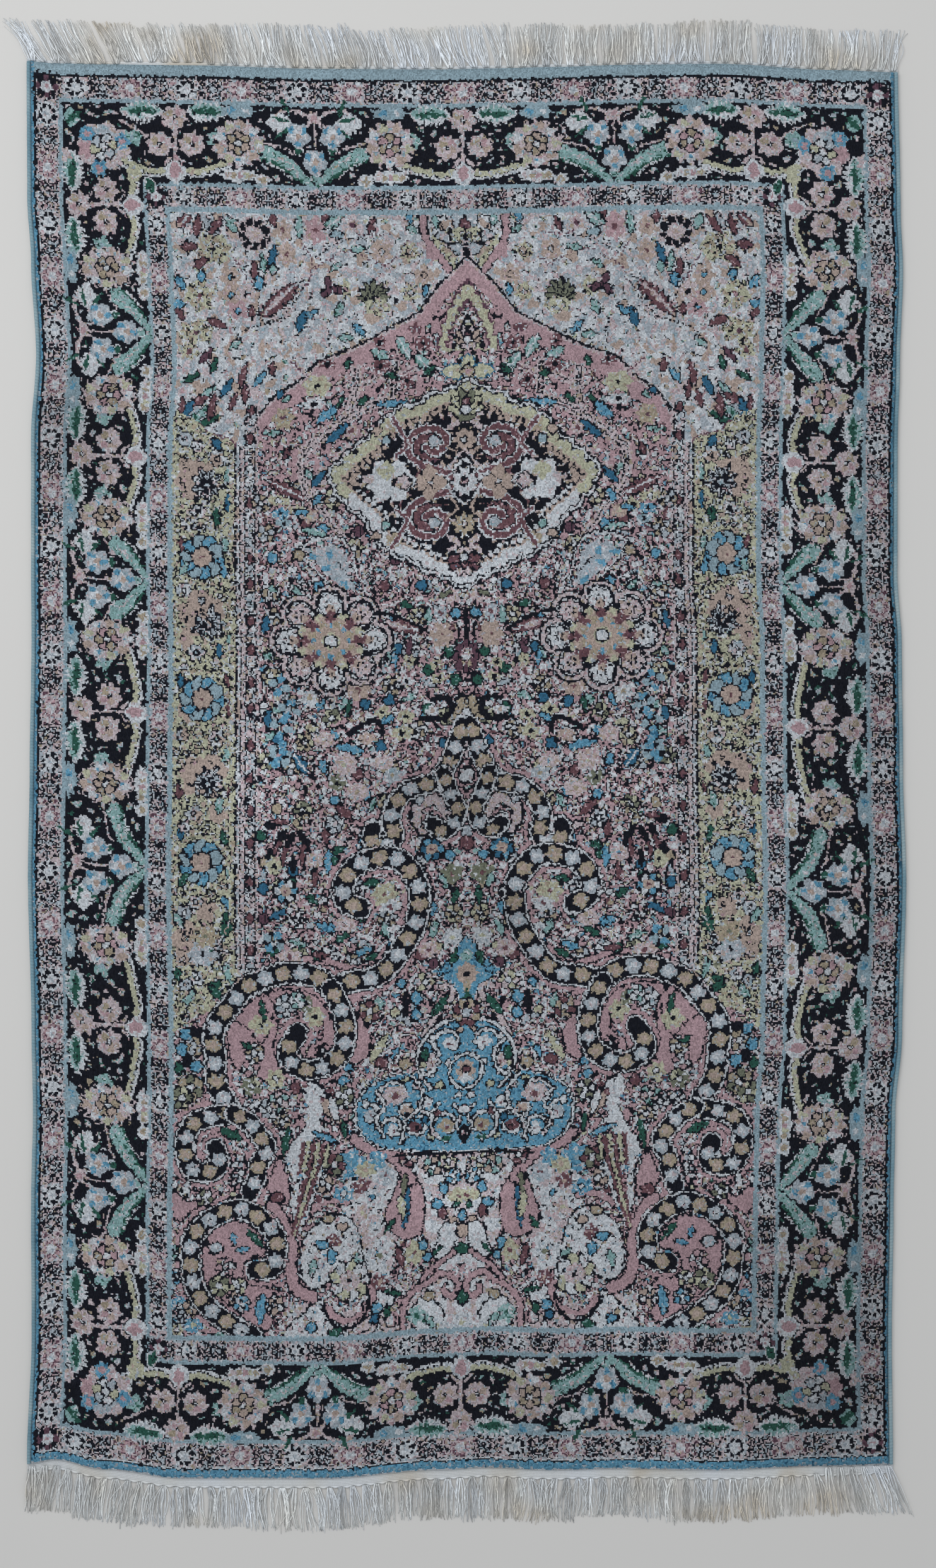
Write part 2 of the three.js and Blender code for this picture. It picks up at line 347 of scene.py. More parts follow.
BANDS = [  # half width, head end, foot end, dye: each laid over the ones before it
    (342.0, 0.0, 1113.5, SKY),
    (338.6, 0.0, 1107.0, HAZE),
    (338.6, 9.0, 1107.4, INK),
    (336.8, 10.6, 1105.8, IVORY),
    (319.0, 28.0, 1086.0, HAZE),
    (316.2, 31.0, 1083.2, INK),
    (253.4, 93.0, 1024.0, HAZE),
    (250.0, 96.0, 1021.0, IVORY),
    (236.0, 112.5, 1005.0, HAZE),
    (232.0, 116.0, 1001.5, IVORY),
]
GUARDS = [  # a guard's middle line: half width, head end, foot end; then half its own width
    (328.3, 19.2, 1096.0, 8.6),
    (243.0, 104.4, 1013.0, 7.0),
]
BORDER_RUNS = [  # corner, rosettes and corner; the line they are on; along; out; half a rosette
    ((62, 161.5, 262, 359, 456, 570, 698.5, 825, 944.5, 1056),
     (-284.5, 0), (0, 1), (-1, 0), (17.5, 23)),
    ((62, 161, 265.5, 362.5, 461, 589.5, 719.5, 840.5, 947, 1056),
     (284.5, 0), (0, 1), (1, 0), (17.5, 23)),
    ((-278, -177.5, -58, 57.5, 179.5, 278), (0, 61), (1, 0), (0, -1), (21, 20)),
    ((-278, -174, -55.5, 55, 176, 278), (0, 1056), (1, 0), (0, 1), (21, 20)),
]
CORNER_FLOWERS = [(side, r, down) for side in (-1, 1) for r, down in ((66, 1), (1052, -1))]
CORNER_INSET = 284
GUARD_REPEAT = 42.6
GUARD_REACH = 8.6
GUARD_STROKES = [  # along and out from midway between two rosettes, each drawn in all four quarters
    [(0, 3.4), (1.8, 2.4), (3.2, 0.6)], [(0, 6.6), (1.6, 5.0), (3.4, 5.6), (3.2, 7.6)],
    [(3.4, 3.4), (5.2, 2.0), (6.8, 3.2), (6.2, 5.0)], [(5.4, 7.8), (6.8, 6.6), (8.4, 7.4)],
    [(6.2, 0.6), (8.2, 1.2), (9.4, 3.0), (8.8, 5.0)], [(10.2, 1.0), (11.6, 2.4)],
    [(10.4, 7.8), (11.6, 6.4)],
]
QUARTERS = ((-1, -1), (-1, 1), (1, -1), (1, 1))


def guard(on, length, reach):
    """A narrow stripe of small rosettes, dark and rose in turn, with flowers and curls between."""
    repeats = max(int(round(length / GUARD_REPEAT)), 1)
    step = length / repeats
    grow = reach / GUARD_REACH
    for number in range(repeats):
        place = (number + 0.5) * step
        for stroke in GUARD_STROKES:
            for a, b in QUARTERS:
                on.line([(place - step / 2 + a * x * step / GUARD_REPEAT, b * y * grow)
                         for x, y in stroke], 1, INK)
        dye = (INK, PLUM)[number % 2]
        for a, b in QUARTERS:
            spot = place + a * 1.42 * reach, b * 0.52 * reach
            on.star(*spot, reach * 0.46, reach * 0.44, BLUSH, 5, 0.3)
            on.star(*spot, reach * 0.18, reach * 0.18, dye)
        on.star(place, 0, reach + 1.2, reach - 0.2, (IVORY, BLUSH)[number % 2], 8, 0.12)
        for _k, petal in places_round(place, 0, 0.72 * reach, 0.66 * reach, 8, np.pi / 8):
            on.star(*petal, reach * 0.22, reach * 0.2, dye)
            if number % 2:
                on.star(*petal, reach * 0.14, reach * 0.13, ROSE)
        on.star(place, 0, reach * 0.42, reach * 0.38, IVORY)
        on.star(place, 0, reach * 0.16, reach * 0.16, SILVER)


def border_rosette(on, wide, deep, warm):
    """A big scalloped flower of the main border with a bar to either side of it."""
    on.star(0, 0, wide, deep, BLUSH, 14, 0.14, 0.2)
    for _k, place in places_round(0, 0, 0.86 * wide, 0.86 * deep, 14, np.pi / 14 + 0.2):
        on.star(*place, 1.6, 1.6, INK)
    for k, place in places_round(0, 0, 0.72 * wide, 0.72 * deep, 9, 0.5 * warm):
        on.star(*place, wide * 0.2, deep * 0.2, (GOLD, IVORY, PEACH)[(k + warm) % 3], 3, 0.3)
    for k, place in places_round(0, 0, 12.3, 13.0, 6, np.pi / 6):
        on.star(*place, 1.5, 1.5, (SKY, HAZE)[k % 2])
    cluster(on, 0, 0, 9.6, (ROSE, CAMEL) if warm else (CAMEL, PEACH), 0.52)
    on.star(0, deep + 5.2, 15, 5.4, HAZE, 7, 0.16)
    on.star(-5, deep + 5.6, 3.2, 2.6, SKY)
    on.star(6, deep + 5.2, 2.6, 2.2, IVORY)
    on.star(0, -deep - 5.2, 16, 5.6, IVORY, 8, 0.18)
    for step, dye in ((-9, BLUSH), (-4, CAMEL), (1, ROSE), (5, GOLD), (9.5, CAMEL)):
        on.star(step, -deep - 5.6, 2.6, 2.8, dye, 3, 0.3)


def small_flowers(on, reach):
    """Filler of three small flowers on a stem that ends in a pointed bud."""
    for side, turn in ((-1, np.pi), (1, 0)):
        bow = [(side * (reach - 12), -4), (side * (reach - 7), -14), (side * 19, -23),
               (side * 9, -22)]
        on.line(curve([(a, b - 2.5) for a, b in bow]), 5, IVORY)
        on.line(curve(bow), 4.2, GOLD)
        on.line(curve([(a, b - 2.6) for a, b in bow]), 1, INK, dash=(2, 1.5))
        on.leaf(side * 9, 24, 34, 21, turn, IVORY, teeth=8)
        on.leaf(side * 11, 25, 30, 14, turn, MINT, teeth=7)
        on.leaf(side * 13, 24, 24, 8, turn, LEAF, teeth=6)
        on.leaf(side * 13, 21, 14, 3, turn, IVORY, teeth=4)
        on.star(side * (reach - 17), 3, 8.5, 7.6, MINT, 5, 0.25)
        on.star(side * (reach - 16), 3, 2.4, 2.2, HAZE)
        on.line([(side * 3, -12), (side * 8, -17)], 2, BLUSH)
    on.line([(0, 12), (0, -28)], 3, BLUSH)
    on.leaf(0, -14, 19, 17, -QUARTER, IVORY)
    on.leaf(0, -16, 13, 9, -QUARTER, ROSE)
    for a, b in ((0, 19.5), (-12, -2), (13.5, -1.5)):
        on.star(a, b, 11, 10.4, BLUSH, 8, 0.2, 0.2)
        on.star(a - 4, b + 3, 3, 3, CAMEL)
        on.star(a + 4, b - 2, 2.6, 2.6, PEACH)
        on.star(a + 3, b + 4, 2.4, 2.4, ROSE)
        on.star(a, b, 2.6, 2.6, INK, 5, 0.35)
        on.star(a, b, 1.1, 1.1, IVORY)


def grey_flowers(on, reach):
    """Filler of three pale flower heads with blue spots between two bowed stems."""
    for side, turn in ((-1, np.pi), (1, 0)):
        stem = [(side * 2, 20), (side * 9, 25), (side * 17, 27), (side * 26, 26), (side * 33, 19)]
        on.line(curve(stem), 2.6, BLUSH)
        on.line(curve([(side * 4, 20), (side * 7, 13), (side * 21, 16), (side * 28, 8)]), 2, BLUSH)
        on.leaf(side * 17, 17, 21, 20, turn, IVORY, teeth=5)
        for step in (-3, 1, 5):
            on.leaf(side * 19, 17 + step * 1.2, 15, 4, turn + 0.22 * step * side, LEAF, teeth=3)
        blade = curve([(side * (reach - 22), -7), (side * 21, -15), (side * 12, -23),
                       (side * 3, -31)])
        for (a, b), share in zip(blade, np.linspace(1, 0, len(blade))):
            on.star(a, b, 2.6 + 4.4 * share, 2.2 + 3.4 * share, MINT)
            if share > 0.15:
                on.star(a + side * 3.6, b - 3.6 * share - 1, 1.7, 1.3 + share, LEAF, 4, 0.5)
        on.line([(a + side * 6.5, b - 4) for a, b in blade[3:-8]], 1.6, IVORY, dash=(3, 1))
        on.line([(a - side * 0.5, b + 1) for a, b in blade[4:-10]], 1.4, BLUSH, dash=(4, 2))
        on.star(side * (reach - 19), -28.5, 6.4, 5.4, IVORY, 7, 0.2)
        on.star(side * (reach - 19), -28.5, 3.6, 3.2, CAMEL, 4, 0.2)
        on.line([(side * (reach - 16), 2), (side * 22, -3), (side * 18, -7)], 1.6, BLUSH)
    on.line([(0, 17), (1, 8), (0, -8)], 1.6, BLUSH)
    on.star(0, 21.5, 6, 5, BLUSH, 6, 0.2)
    on.star(0, 21.5, 2.4, 2.2, ROSE)
    for a, b, tip in ((-12.5, 7.5, LEAF), (14.5, 7.0, LEAF), (0.5, -13, MINT)):
        on.star(a, b - 10.5, 4.2, 5.2, IVORY, 5, 0.25)
        on.star(a, b - 11.5, 2.7, 3.4, tip)
        on.star(a, b, 10.2, 10.8, SILVER, 5, 0.2, QUARTER)
        on.star(a, b + 2, 7.6, 5.8, IVORY, 3, 0.3)
        on.star(a + 0.3, b - 0.8, 2.5, 2.5, PEACH)
        for step, out in ((-5.2, 4.2), (5.2, 3.8), (0, -6.2)):
            on.star(a + step, b + out, 2.4, 2.8, SKY)


def corner_flower(chart, side, r, down):
    """The big flower that turns the main border at a corner."""
    x = side * CORNER_INSET
    on = Placed(chart, x, r, (0, down), (side, 0))
    inward = Placed(chart, x, r, (-side * 0.72, down * 0.72), (side * 0.72, down * 0.72))
    on.star(0, 0, 21, 21.5, BLUSH, 8, 0.16, 0.2)
    on.star(-9, 3, 9, 13, SILVER, 5, 0.2)
    on.star(2, 14, 8, 7, ROSE, 5, 0.3)
    for a, b in ((-10.5, 13), (-4.5, -14.5), (17, 3.5)):
        on.star(a, b, 7, 6.6, SKY, 7, 0.22)
        on.star(a, b, 2.8, 2.6, ROSE)
    cluster(on, 0, 0, 11, (IVORY, GOLD, SILVER), 0.3)
    on.star(-23, 25, 7.5, 6.5, MINT, 4, 0.14)
    on.leaf(-28, 18, 15, 8, 0.9, LEAF, teeth=3)
    on.star(7, 30, 6.5, 4, BLUSH, 5, 0.2)
    on.star(21, -24, 7, 6.5, GOLD, 5, 0.2)
    on.leaf(24, -34, 13, 7, -0.4, LEAF, rim=IVORY)
    inward.line([(-6, -24), (6, -28), (18, -30)], 1.6, BLUSH)


def borders(chart):
    """Plain bands, guard stripes and the flowers of the main border."""
    for across, head, foot, dye in BANDS:
        chart.area([(-across, head), (across, head), (across, foot), (-across, foot)], dye)
    rng = np.random.default_rng(5)
    across = np.abs(np.arange(KNOTS_ACROSS) - MIDDLE + 0.5)
    down = np.arange(KNOTS_ALONG)[:, None] + 0.5
    for half, head, foot, reach in GUARDS:
        held = (across < half + 9.4) & (down > head - 9) & (down < foot + 9)
        held = held & (chart.knots == IVORY)
        patches = texture(rng, chart.knots.shape, 9)
        chart.knots[held & (patches > 0.2)] = SILVER
        chart.knots[held & (patches < -0.1)] = BLUSH
        squiggle(chart, held, rng, 4.0, 0.18)
        for side in (-1, 1):
            guard(Placed(chart, side * half, head, (0, 1), (side, 0)), foot - head, reach)
        for r, out in ((head, -1), (foot, 1)):
            guard(Placed(chart, -half, r, (1, 0), (0, out)), 2 * half, reach)
            for x in (-half, half):
                daisy(chart, x, r, reach + 0.6, (PLUM, INK), heart=IVORY, eye=ROSE, rim=None)
    navy = chart.knots == INK
    for stations, line, along, out, size in BORDER_RUNS:
        for number, (here, there) in enumerate(zip(stations, stations[1:])):
            middle = line + np.multiply(along, (here + there) / 2)
            filler = grey_flowers if number % 2 else small_flowers
            filler(Placed(chart, *middle, along, out), (there - here) / 2)
        for number, stop in enumerate(stations[1:-1]):
            place = line + np.multiply(along, stop)
            border_rosette(Placed(chart, *place, along, out), *size, number % 2)
    for corner in CORNER_FLOWERS:
        corner_flower(chart, *corner)
    bare = navy & (chart.knots == INK)
    for step in ((0, 1), (0, -1), (1, 0), (-1, 0)) * 2:
        bare &= np.roll(bare, step, (0, 1))
    fillings = (BLUSH, LEAF, SILVER, BLUSH, MINT, CAMEL)
    tangle(chart, bare, rng, INK, fillings, 9.0, 0.12, 0.62, NONE_PALE)


# The field, drawn as its left half and mirrored. Knots from the middle line and from the head end

FIELD_HALF = 232
FIELD_HEAD, FIELD_FOOT = 116, 1001
CROWN_FOOT = 330
FOOT_HEAD = 860
PILLAR_FOOT = 712
ARCH = [(0, 149), (-13.5, 163), (-22.5, 171.5), (-32, 184), (-41.5, 195), (-56.5, 202.5),
        (-80.5, 215.5), (-100, 224), (-119.5, 232), (-134.5, 247), (-149, 256.5), (-157, 264.5),
        (-163.5, 274)]
NICHE = np.array([*ARCH, (-163.5, PILLAR_FOOT), (0, PILLAR_FOOT)], float)
SPANDREL_LEAVES = [  # x and r of the stem end, length, width, direction in degrees, dye
    (-227, 128, 14, 9, -42, RUST), (-213, 136, 17, 6, -78, RUST), (-205, 131, 14, 6, -63, SILVER),
    (-202, 134, 18, 6, -52, RUST), (-187, 119, 13, 8, 65, MINT), (-226, 143, 13, 8, 0, RUST),
    (-216, 160, 13, 7, -35, RUST), (-168, 168, 14, 6, -90, RUST), (-160, 164, 16, 6, -97, MINT),
    (-156, 158, 18, 6, -72, LAKE), (-153, 165, 9, 6, -90, MINT), (-165, 176, 11, 8, -80, SKY),
    (-210, 171, 8, 7, -90, SKY), (-224, 177, 11, 8, -120, SKY), (-224, 188, 9, 8, 170, SKY),
    (-231, 192, 10, 6, 60, RUST), (-165, 199, 42, 13, -43, RUST), (-171, 199, 10, 5, -90, RUST),
    (-206, 201, 15, 7, 21, RUST), (-152, 116, 10, 6, 80, RUST), (-131, 135, 20, 6, -88, MINT),
    (-112, 121, 9, 6, -60, RUST), (-111, 127, 18, 9, -35, MINT), (-107, 131, 11, 7, 5, HAZE),
    (-135, 208, 17, 8, -68, LAKE), (-129, 197, 12, 5, -30, SKY), (-104, 196, 12, 7, -65, MINT),
    (-103, 213, 12, 6, 0, MINT), (-108, 160, 11, 5, -35, MINT), (-182, 255, 21, 5, -75, RUST),
    (-156, 233, 10, 6, 90, RUST), (-190, 224, 12, 5, -40, MINT), (-214, 236, 16, 6, -50, PLUM),
    (-226, 250, 13, 5, -30, LEAF), (-76, 130, 12, 5, -68, RUST), (-43, 124, 10, 5, -90, SKY),
    (-46, 126, 10, 6, 20, MINT), (-91, 144, 11, 6, -10, MINT), (-91, 202, 13, 6, 45, SKY),
    (-34, 181, 9, 5, -80, SKY), (-24, 116, 9, 6, 80, MINT), (-205, 243, 13, 5, -70, LEAF),
    (-196, 262, 17, 6, -60, LAKE), (-212, 262, 15, 5, -35, MINT), (-222, 268, 18, 7, -20, RUST),
    (-176, 266, 16, 5, -95, RUST), (-170, 252, 14, 5, -50, SKY), (-188, 272, 15, 5, -70, RUST),
    (-228, 284, 22, 8, -62, LAKE), (-222, 286, 24, 7, -44, MINT), (-214, 286, 22, 6, -28, LEAF),
    (-226, 262, 12, 5, 90, RUST), (-204, 280, 20, 7, -80, RUST),
]
SPANDREL_BLOOMS = [  # x, r, half width, half height, dye, eye: soft, without an edge
    (-200, 145, 17, 13, GOLD, INK), (-187, 167, 9, 9, PEACH, SKY), (-187, 181, 9, 9, PEACH, SKY),
    (-175, 180, 9, 9, BLUSH, INK), (-182, 193, 9, 8, ROSE, SKY), (-212, 182, 12, 14, GOLD, RUST),
    (-216, 211, 15, 10, GOLD, PLUM), (-144, 128, 8, 8, PEACH, RUST),
    (-142, 148, 8, 10, PEACH, RUST), (-118, 128, 9, 12, ROSE, RUST), (-97, 175, 6, 9, GOLD, ROSE),
    (-67, 145, 9.5, 9, PEACH, IVORY), (-45, 145, 8.5, 8, GOLD, IVORY),
    (-34, 164, 8.5, 8, PEACH, IVORY), (-45, 178, 7.5, 8, GOLD, IVORY),
    (-71, 188, 12, 8, GOLD, PLUM), (-88, 124, 7, 6, BLUSH, PLUM), (-222, 226, 9, 7, GOLD, RUST),
]
SPANDREL_VINES = [  # points, dye
    ([(-173, 147), (-174, 157), (-175, 165), (-166, 180), (-166, 198)], INK),
    ([(-187, 147), (-180, 158), (-175, 166), (-170, 172)], PLUM),
    ([(-130, 139), (-123, 149), (-123, 161), (-127, 172), (-139, 181), (-154, 194)], PLUM),
    ([(-123, 161), (-116, 155), (-107, 150), (-101, 146), (-90, 145), (-78, 150), (-62, 158)],
      PLUM),
    ([(-120, 149), (-107, 141), (-96, 136), (-84, 134), (-72, 138)], INK),
    ([(-128, 170), (-135, 182), (-140, 190), (-152, 200), (-168, 205), (-180, 210), (-190, 222)],
      INK),
    ([(-85, 131), (-72, 132), (-60, 131)], PLUM),
    ([(-190, 196), (-188, 210), (-190, 224), (-192, 244), (-190, 262)], ROSE),
    ([(-168, 206), (-160, 202), (-148, 200), (-140, 195)], INK),
    ([(-112, 200), (-110, 216), (-118, 230)], INK),
    ([(-46, 136), (-56, 150), (-70, 158)], PLUM),
]


def leaves(on, rows):
    """Dark-edged leaves from a table; the bigger ones toothed and with a pale vein."""
    for x, r, length, width, degrees, dye in rows:
        vein = IVORY if width > 8 else None
        on.leaf(x, r, length, width * 1.1, np.radians(degrees), dye, INK, length // 5, vein)


def buds(on, rows):
    """Small dark-edged spots from a table."""
    for x, r, wide, tall, dye in rows:
        on.star(x, r, wide, tall, dye, rim=INK)


def blooms(on, rows):
    """Soft flowers without an edge, each with a mottled body and a small dark-ringed eye."""
    shades = {GOLD: CAMEL, PEACH: BLUSH, BLUSH: PEACH, ROSE: BLUSH, IVORY: SILVER, SILVER: IVORY,
              CAMEL: GOLD}
    for number, (x, r, wide, tall, dye, eye) in enumerate(rows):
        on.star(x, r, wide, tall, dye, 6, 0.22, number)
        for k in range(5):
            bearing = number + k * 1.257
            on.star(x + 0.6 * wide * np.cos(bearing), r + 0.6 * tall * np.sin(bearing),
                    wide * 0.17, tall * 0.17, shades.get(dye, IVORY), 3, 0.4)
        if eye in (SKY, IVORY):
            on.star(x, r, 2.9, 2.9, INK)
            on.star(x, r, 1.6, 1.6, eye)
        else:
            on.star(x, r, 1.9, 2.3, eye, 4, 0.3)


def clusters(on, rows):
    """Rings of dark-edged berries from a table."""
    for number, (x, r, size, dyes) in enumerate(rows):
        cluster(on, x, r, size, dyes, 0.5 * number)


def vines(on, rows, dash=(2, 1.4)):
    """Dotted stems from a table."""
    for points, dye in rows:
        on.line(curve(points), 1, dye, dash=dash)


BERRIES = ((GOLD, CAMEL), (IVORY, ROSE), (GOLD, MOSS), (CAMEL, SILVER), (IVORY, CAMEL),
           (SILVER, IVORY), (ROSE, IVORY))
SPOTS = (SKY, RUST, SKY, CAMEL, LEAF, PLUM, LAKE)


def crowd(on, held, rng, step=24.0):
    """Rings of berries and dark-edged spots strewn over a ground."""
    rows, columns = np.nonzero(held)
    for row in np.arange(rows.min() + 8, rows.max() - 8, step):
        for column in np.arange(columns.min() + 8, columns.max() - 8, step):
            r, place = row + rng.uniform(-8, 8), column + rng.uniform(-8, 8)
            pick, ring = rng.integers(len(SPOTS)), rng.random() < 0.5
            if not held[int(r), int(place)]:
                continue
            if ring:
                cluster(on, place + on.left, r, 7.5, BERRIES[pick], pick)
            else:
                on.star(place + on.left, r, 3.8, 4.0, SPOTS[pick], rim=INK)


def scatter(on, held, rng, ground, step, kinds):
    """Small curls, dots and flowers wherever a part of the field is still bare."""
    rows, columns = np.nonzero(held)
    for r in np.arange(rows.min() + 3, rows.max() - 2, step):
        for column in np.arange(columns.min() + 2, columns.max() - 1, step):
            spot_r = r + rng.uniform(-1.6, 1.6)
            spot_c = column + rng.uniform(-1.6, 1.6)
            kind = kinds[rng.integers(len(kinds))]
            turn = rng.uniform(0, 2 * np.pi)
            size = rng.uniform(0.85, 1.15) * step * 0.36
            r0, c0, reach = int(spot_r), int(spot_c), int(size) + 1
            block = on.knots[r0 - reach:r0 + reach + 1, c0 - reach:c0 + reach + 1]
            inside = held[r0 - reach:r0 + reach + 1, c0 - reach:c0 + reach + 1]
            if block.size and inside.all() and np.isin(block, ground).all():
                small_motif(on, spot_c + on.left, spot_r, size, kind, turn)


def small_motif(on, x, r, size, kind, turn):
    """One of the small fillers: a curl, three dots, or a tiny flower told as its two dyes."""
    if kind == "curl":
        bow = [(x + size * np.cos(turn + a), r + size * np.sin(turn + a))
               for a in (0, 1.2, 2.4, 3.3)]
        on.line(curve(bow, 4), 1, INK, dash=(2.5, 0.8))
        on.star(x, r, 1.2, 1.2, ROSE)
    elif kind == "dots":
        for a in (0, 2.1, 4.2):
            out = 0.6 * size
            on.star(x + out * np.cos(turn + a), r + out * np.sin(turn + a), 1.1, 1.1, INK)
    else:
        on.star(x, r, size * 0.9, size * 0.9, kind[0], 5, 0.35, turn, rim=INK)
        on.star(x, r, size * 0.35, size * 0.35, kind[1])


def spandrel(on):
    """The pale corner above the arch, with its scattered flowers."""
    vines(on, SPANDREL_VINES)
    blooms(on, SPANDREL_BLOOMS)
    daisy(on, -166.5, 132.5, 13, (INK,), count=9, heart=BLUSH, eye=PEACH, turn=0.3, rim=BLUSH)
    leaves(on, SPANDREL_LEAVES)
    on.leaf(-163, 196, 34, 4, np.radians(-43), BLUSH)
    for turn, length in ((250, 9), (20, 11), (130, 10)):
        on.leaf(-108, 173, length, 5, np.radians(turn), PLUM, rim=INK)
    for turn in range(-165, -10, 25):
        on.leaf(-74, 184, 17 - abs(turn + 90) * 0.06, 4.4, np.radians(turn), MOSS, rim=INK)
    on.star(-71, 188, 10, 6.5, GOLD, 5, 0.2)
    bow = curve([(-33, 117), (-32, 132), (-28, 141), (-22, 149), (-13, 161)])
    on.line(bow, 7, INK)
    on.line(bow, 5, ROSE)
    on.line(curve([(-24, 135), (-17, 146), (-10, 156)]), 5, GOLD)
    on.star(-27, 146, 6, 7, ROSE, 5, 0.2)
    palmette(on, 0, 134, 24, -QUARTER, (IVORY, SILVER))
    on.star(0, 131, 17, 6, GOLD, 9, 0.3)
    for x in (-12, 0):
        on.line([(x, 126), (x, 137)], 1, INK)
    on.leaf(0, 152, 10, 6, -QUARTER, INK, rim=BLUSH)


# The niche: its rose ground, the columns to either side and the big medallion under the arch

COLUMN_OUTLINE = [(-232, 272), (-213, 280), (-203, 290), (-187, 294), (-180, 302), (-179.5, 742),
                  (-190, 750), (-212, 762), (-232, 778)]
COLUMN_BLOTCHES = [  # x, r, half width, half height: peach
    (-217, 325, 14, 18), (-208, 428, 20, 15), (-206, 556, 20, 14), (-219, 693, 14, 20),
    (-221, 505, 8, 14), (-205, 665, 9, 12), (-222, 452, 6, 10), (-196, 590, 8, 9),
]
COLUMN_ROSETTES = ((-208.5, 388, 0.2), (-209, 499.5, 0.1), (-208.5, 628.5, 0.3))  # x, r, turn
COLUMN_LOTUSES = ((-204.5, 331), (-203.5, 440.5), (-203.5, 566.5), (-202.5, 697.5))
COLUMN_LEAVES = [  # x and r of the stem end, length, width, direction in degrees, dye
    (-188, 330, 14, 6, -90, MINT), (-188, 337, 15, 5, 90, LAKE), (-197, 350, 13, 7, 90, LEAF),
    (-188, 457, 14, 7, -70, MINT), (-192, 549, 15, 7, -60, MINT), (-196, 590, 14, 7, -80, MINT),
    (-188, 640, 14, 6, -70, MINT), (-191, 717, 15, 7, -60, MINT), (-190, 615, 12, 6, -100, LEAF),
    (-226, 648, 13, 6, -60, LEAF), (-190, 680, 12, 6, -85, LEAF), (-204, 730, 13, 7, -40, LEAF),
    (-196, 467, 11, 5, -90, LAKE), (-188, 513, 14, 6, -80, RUST), (-226, 579, 13, 6, -100, RUST),
    (-187, 578, 12, 6, -80, RUST), (-226, 402, 12, 6, -60, MINT), (-190, 404, 12, 6, -100, SKY),
    (-226, 480, 11, 5, 90, LAKE), (-226, 534, 12, 6, -90, LEAF), (-190, 480, 10, 5, 80, RUST),
    (-225, 612, 12, 5, -90, LAKE), (-192, 655, 10, 5, 60, SKY), (-224, 740, 14, 6, -50, MINT),
    (-200, 294, 12, 6, 60, LAKE), (-190, 372, 11, 5, 90, MINT), (-226, 372, 11, 5, 80, RUST),
]
COLUMN_FLOWERS = [  # x, r, size, dye
    (-225, 358, 6, GOLD), (-211, 352, 6, IVORY), (-222, 295, 6, SILVER), (-212, 301, 5, IVORY),
    (-196, 310, 7, IVORY), (-223, 414, 6, IVORY), (-194, 418, 6, GOLD), (-214, 463, 7, IVORY),
    (-201, 472, 6, GOLD), (-224, 528, 5, IVORY), (-197, 531, 7, IVORY), (-213, 538, 5, GOLD),
    (-215, 590, 7, IVORY), (-204, 601, 6, GOLD), (-222, 600, 5, IVORY), (-213, 660, 6, IVORY),
    (-201, 655, 5, GOLD), (-222, 668, 6, SILVER), (-213, 720, 6, IVORY), (-195, 738, 6, GOLD),
    (-222, 725, 5, SILVER), (-206, 745, 6, IVORY),
]
PILLAR_STRIPES = (  # from, to, dye
    (-182.0, -178.5, IVORY), (-178.5, -174.3, BLUSH), (-174.3, -166.6, IVORY),
    (-166.6, -163.5, BLUSH),
)
PILLAR_LOZENGES = (272, 294, 345, 389, 408, 437.5, 460, 486, 506.5, 536, 562.5, 587.5, 613, 643,
                   672, 697)
ARCH_LEAVES = [  # x and r of the stem end, length, width, direction in degrees, dye
    (-118, 280, 22, 8, -40, SKY), (-110, 296, 23, 7, -41, LAKE), (-72, 266, 27, 6, -2, SKY),
    (-121, 331, 16, 6, -52, LAKE), (-157, 326, 37, 9, 25, RUST), (-129, 364, 19, 6, 12, MINT),
    (-56, 212, 21, 9, 62, MINT), (-77, 223, 15, 8, 25, MINT), (-42, 226, 17, 9, 50, MINT),
    (-35, 243, 11, 5, -40, LEAF), (-19, 256, 13, 6, -12, LAKE), (-86, 266, 9, 5, -40, LEAF),
    (-97, 238, 9, 5, -75, LEAF), (-150, 262, 7, 5, -70, LAKE), (-146, 264, 7, 4, -40, MINT),
    (-157, 290, 12, 5, -10, MINT), (-126, 316, 10, 5, 60, MINT), (-120, 346, 12, 6, -60, SKY),
    (-140, 300, 10, 5, 110, RUST), (-66, 242, 9, 5, 10, LEAF), (-103, 268, 9, 4, -60, LEAF),
    (-60, 276, 12, 5, -30, MINT), (-136, 352, 12, 5, -10, SKY), (-45, 266, 10, 4, -20, LEAF),
]
ARCH_BLOOMS = [  # x, r, half width, half height, dye, eye
    (-120, 251, 12, 9, GOLD, INK), (-121, 265, 10, 5, IVORY, INK), (-145, 277, 9, 9, CAMEL, PLUM),
    (-70, 236, 7, 6.5, RUST, INK), (-70, 217, 5, 5.5, RUST, INK), (-36, 218, 8, 5, RUST, INK),
    (-42, 206, 6, 4, RUST, PLUM), (-112, 234, 7, 4.5, RUST, INK), (-90, 287, 6, 5, BLUSH, RUST),
    (-148, 342, 10, 4, GOLD, IVORY), (-134, 349, 6, 5, GOLD, INK), (-123, 354, 7, 6, PEACH, GOLD),
    (-48, 248, 5, 6, RUST, INK), (-146, 352, 8, 4, SKY, INK), (-143, 360, 7, 4, HAZE, INK),
    (-112, 322, 6, 9, BLUSH, PLUM), (-84, 301, 8, 4, BLUSH, HAZE),
]
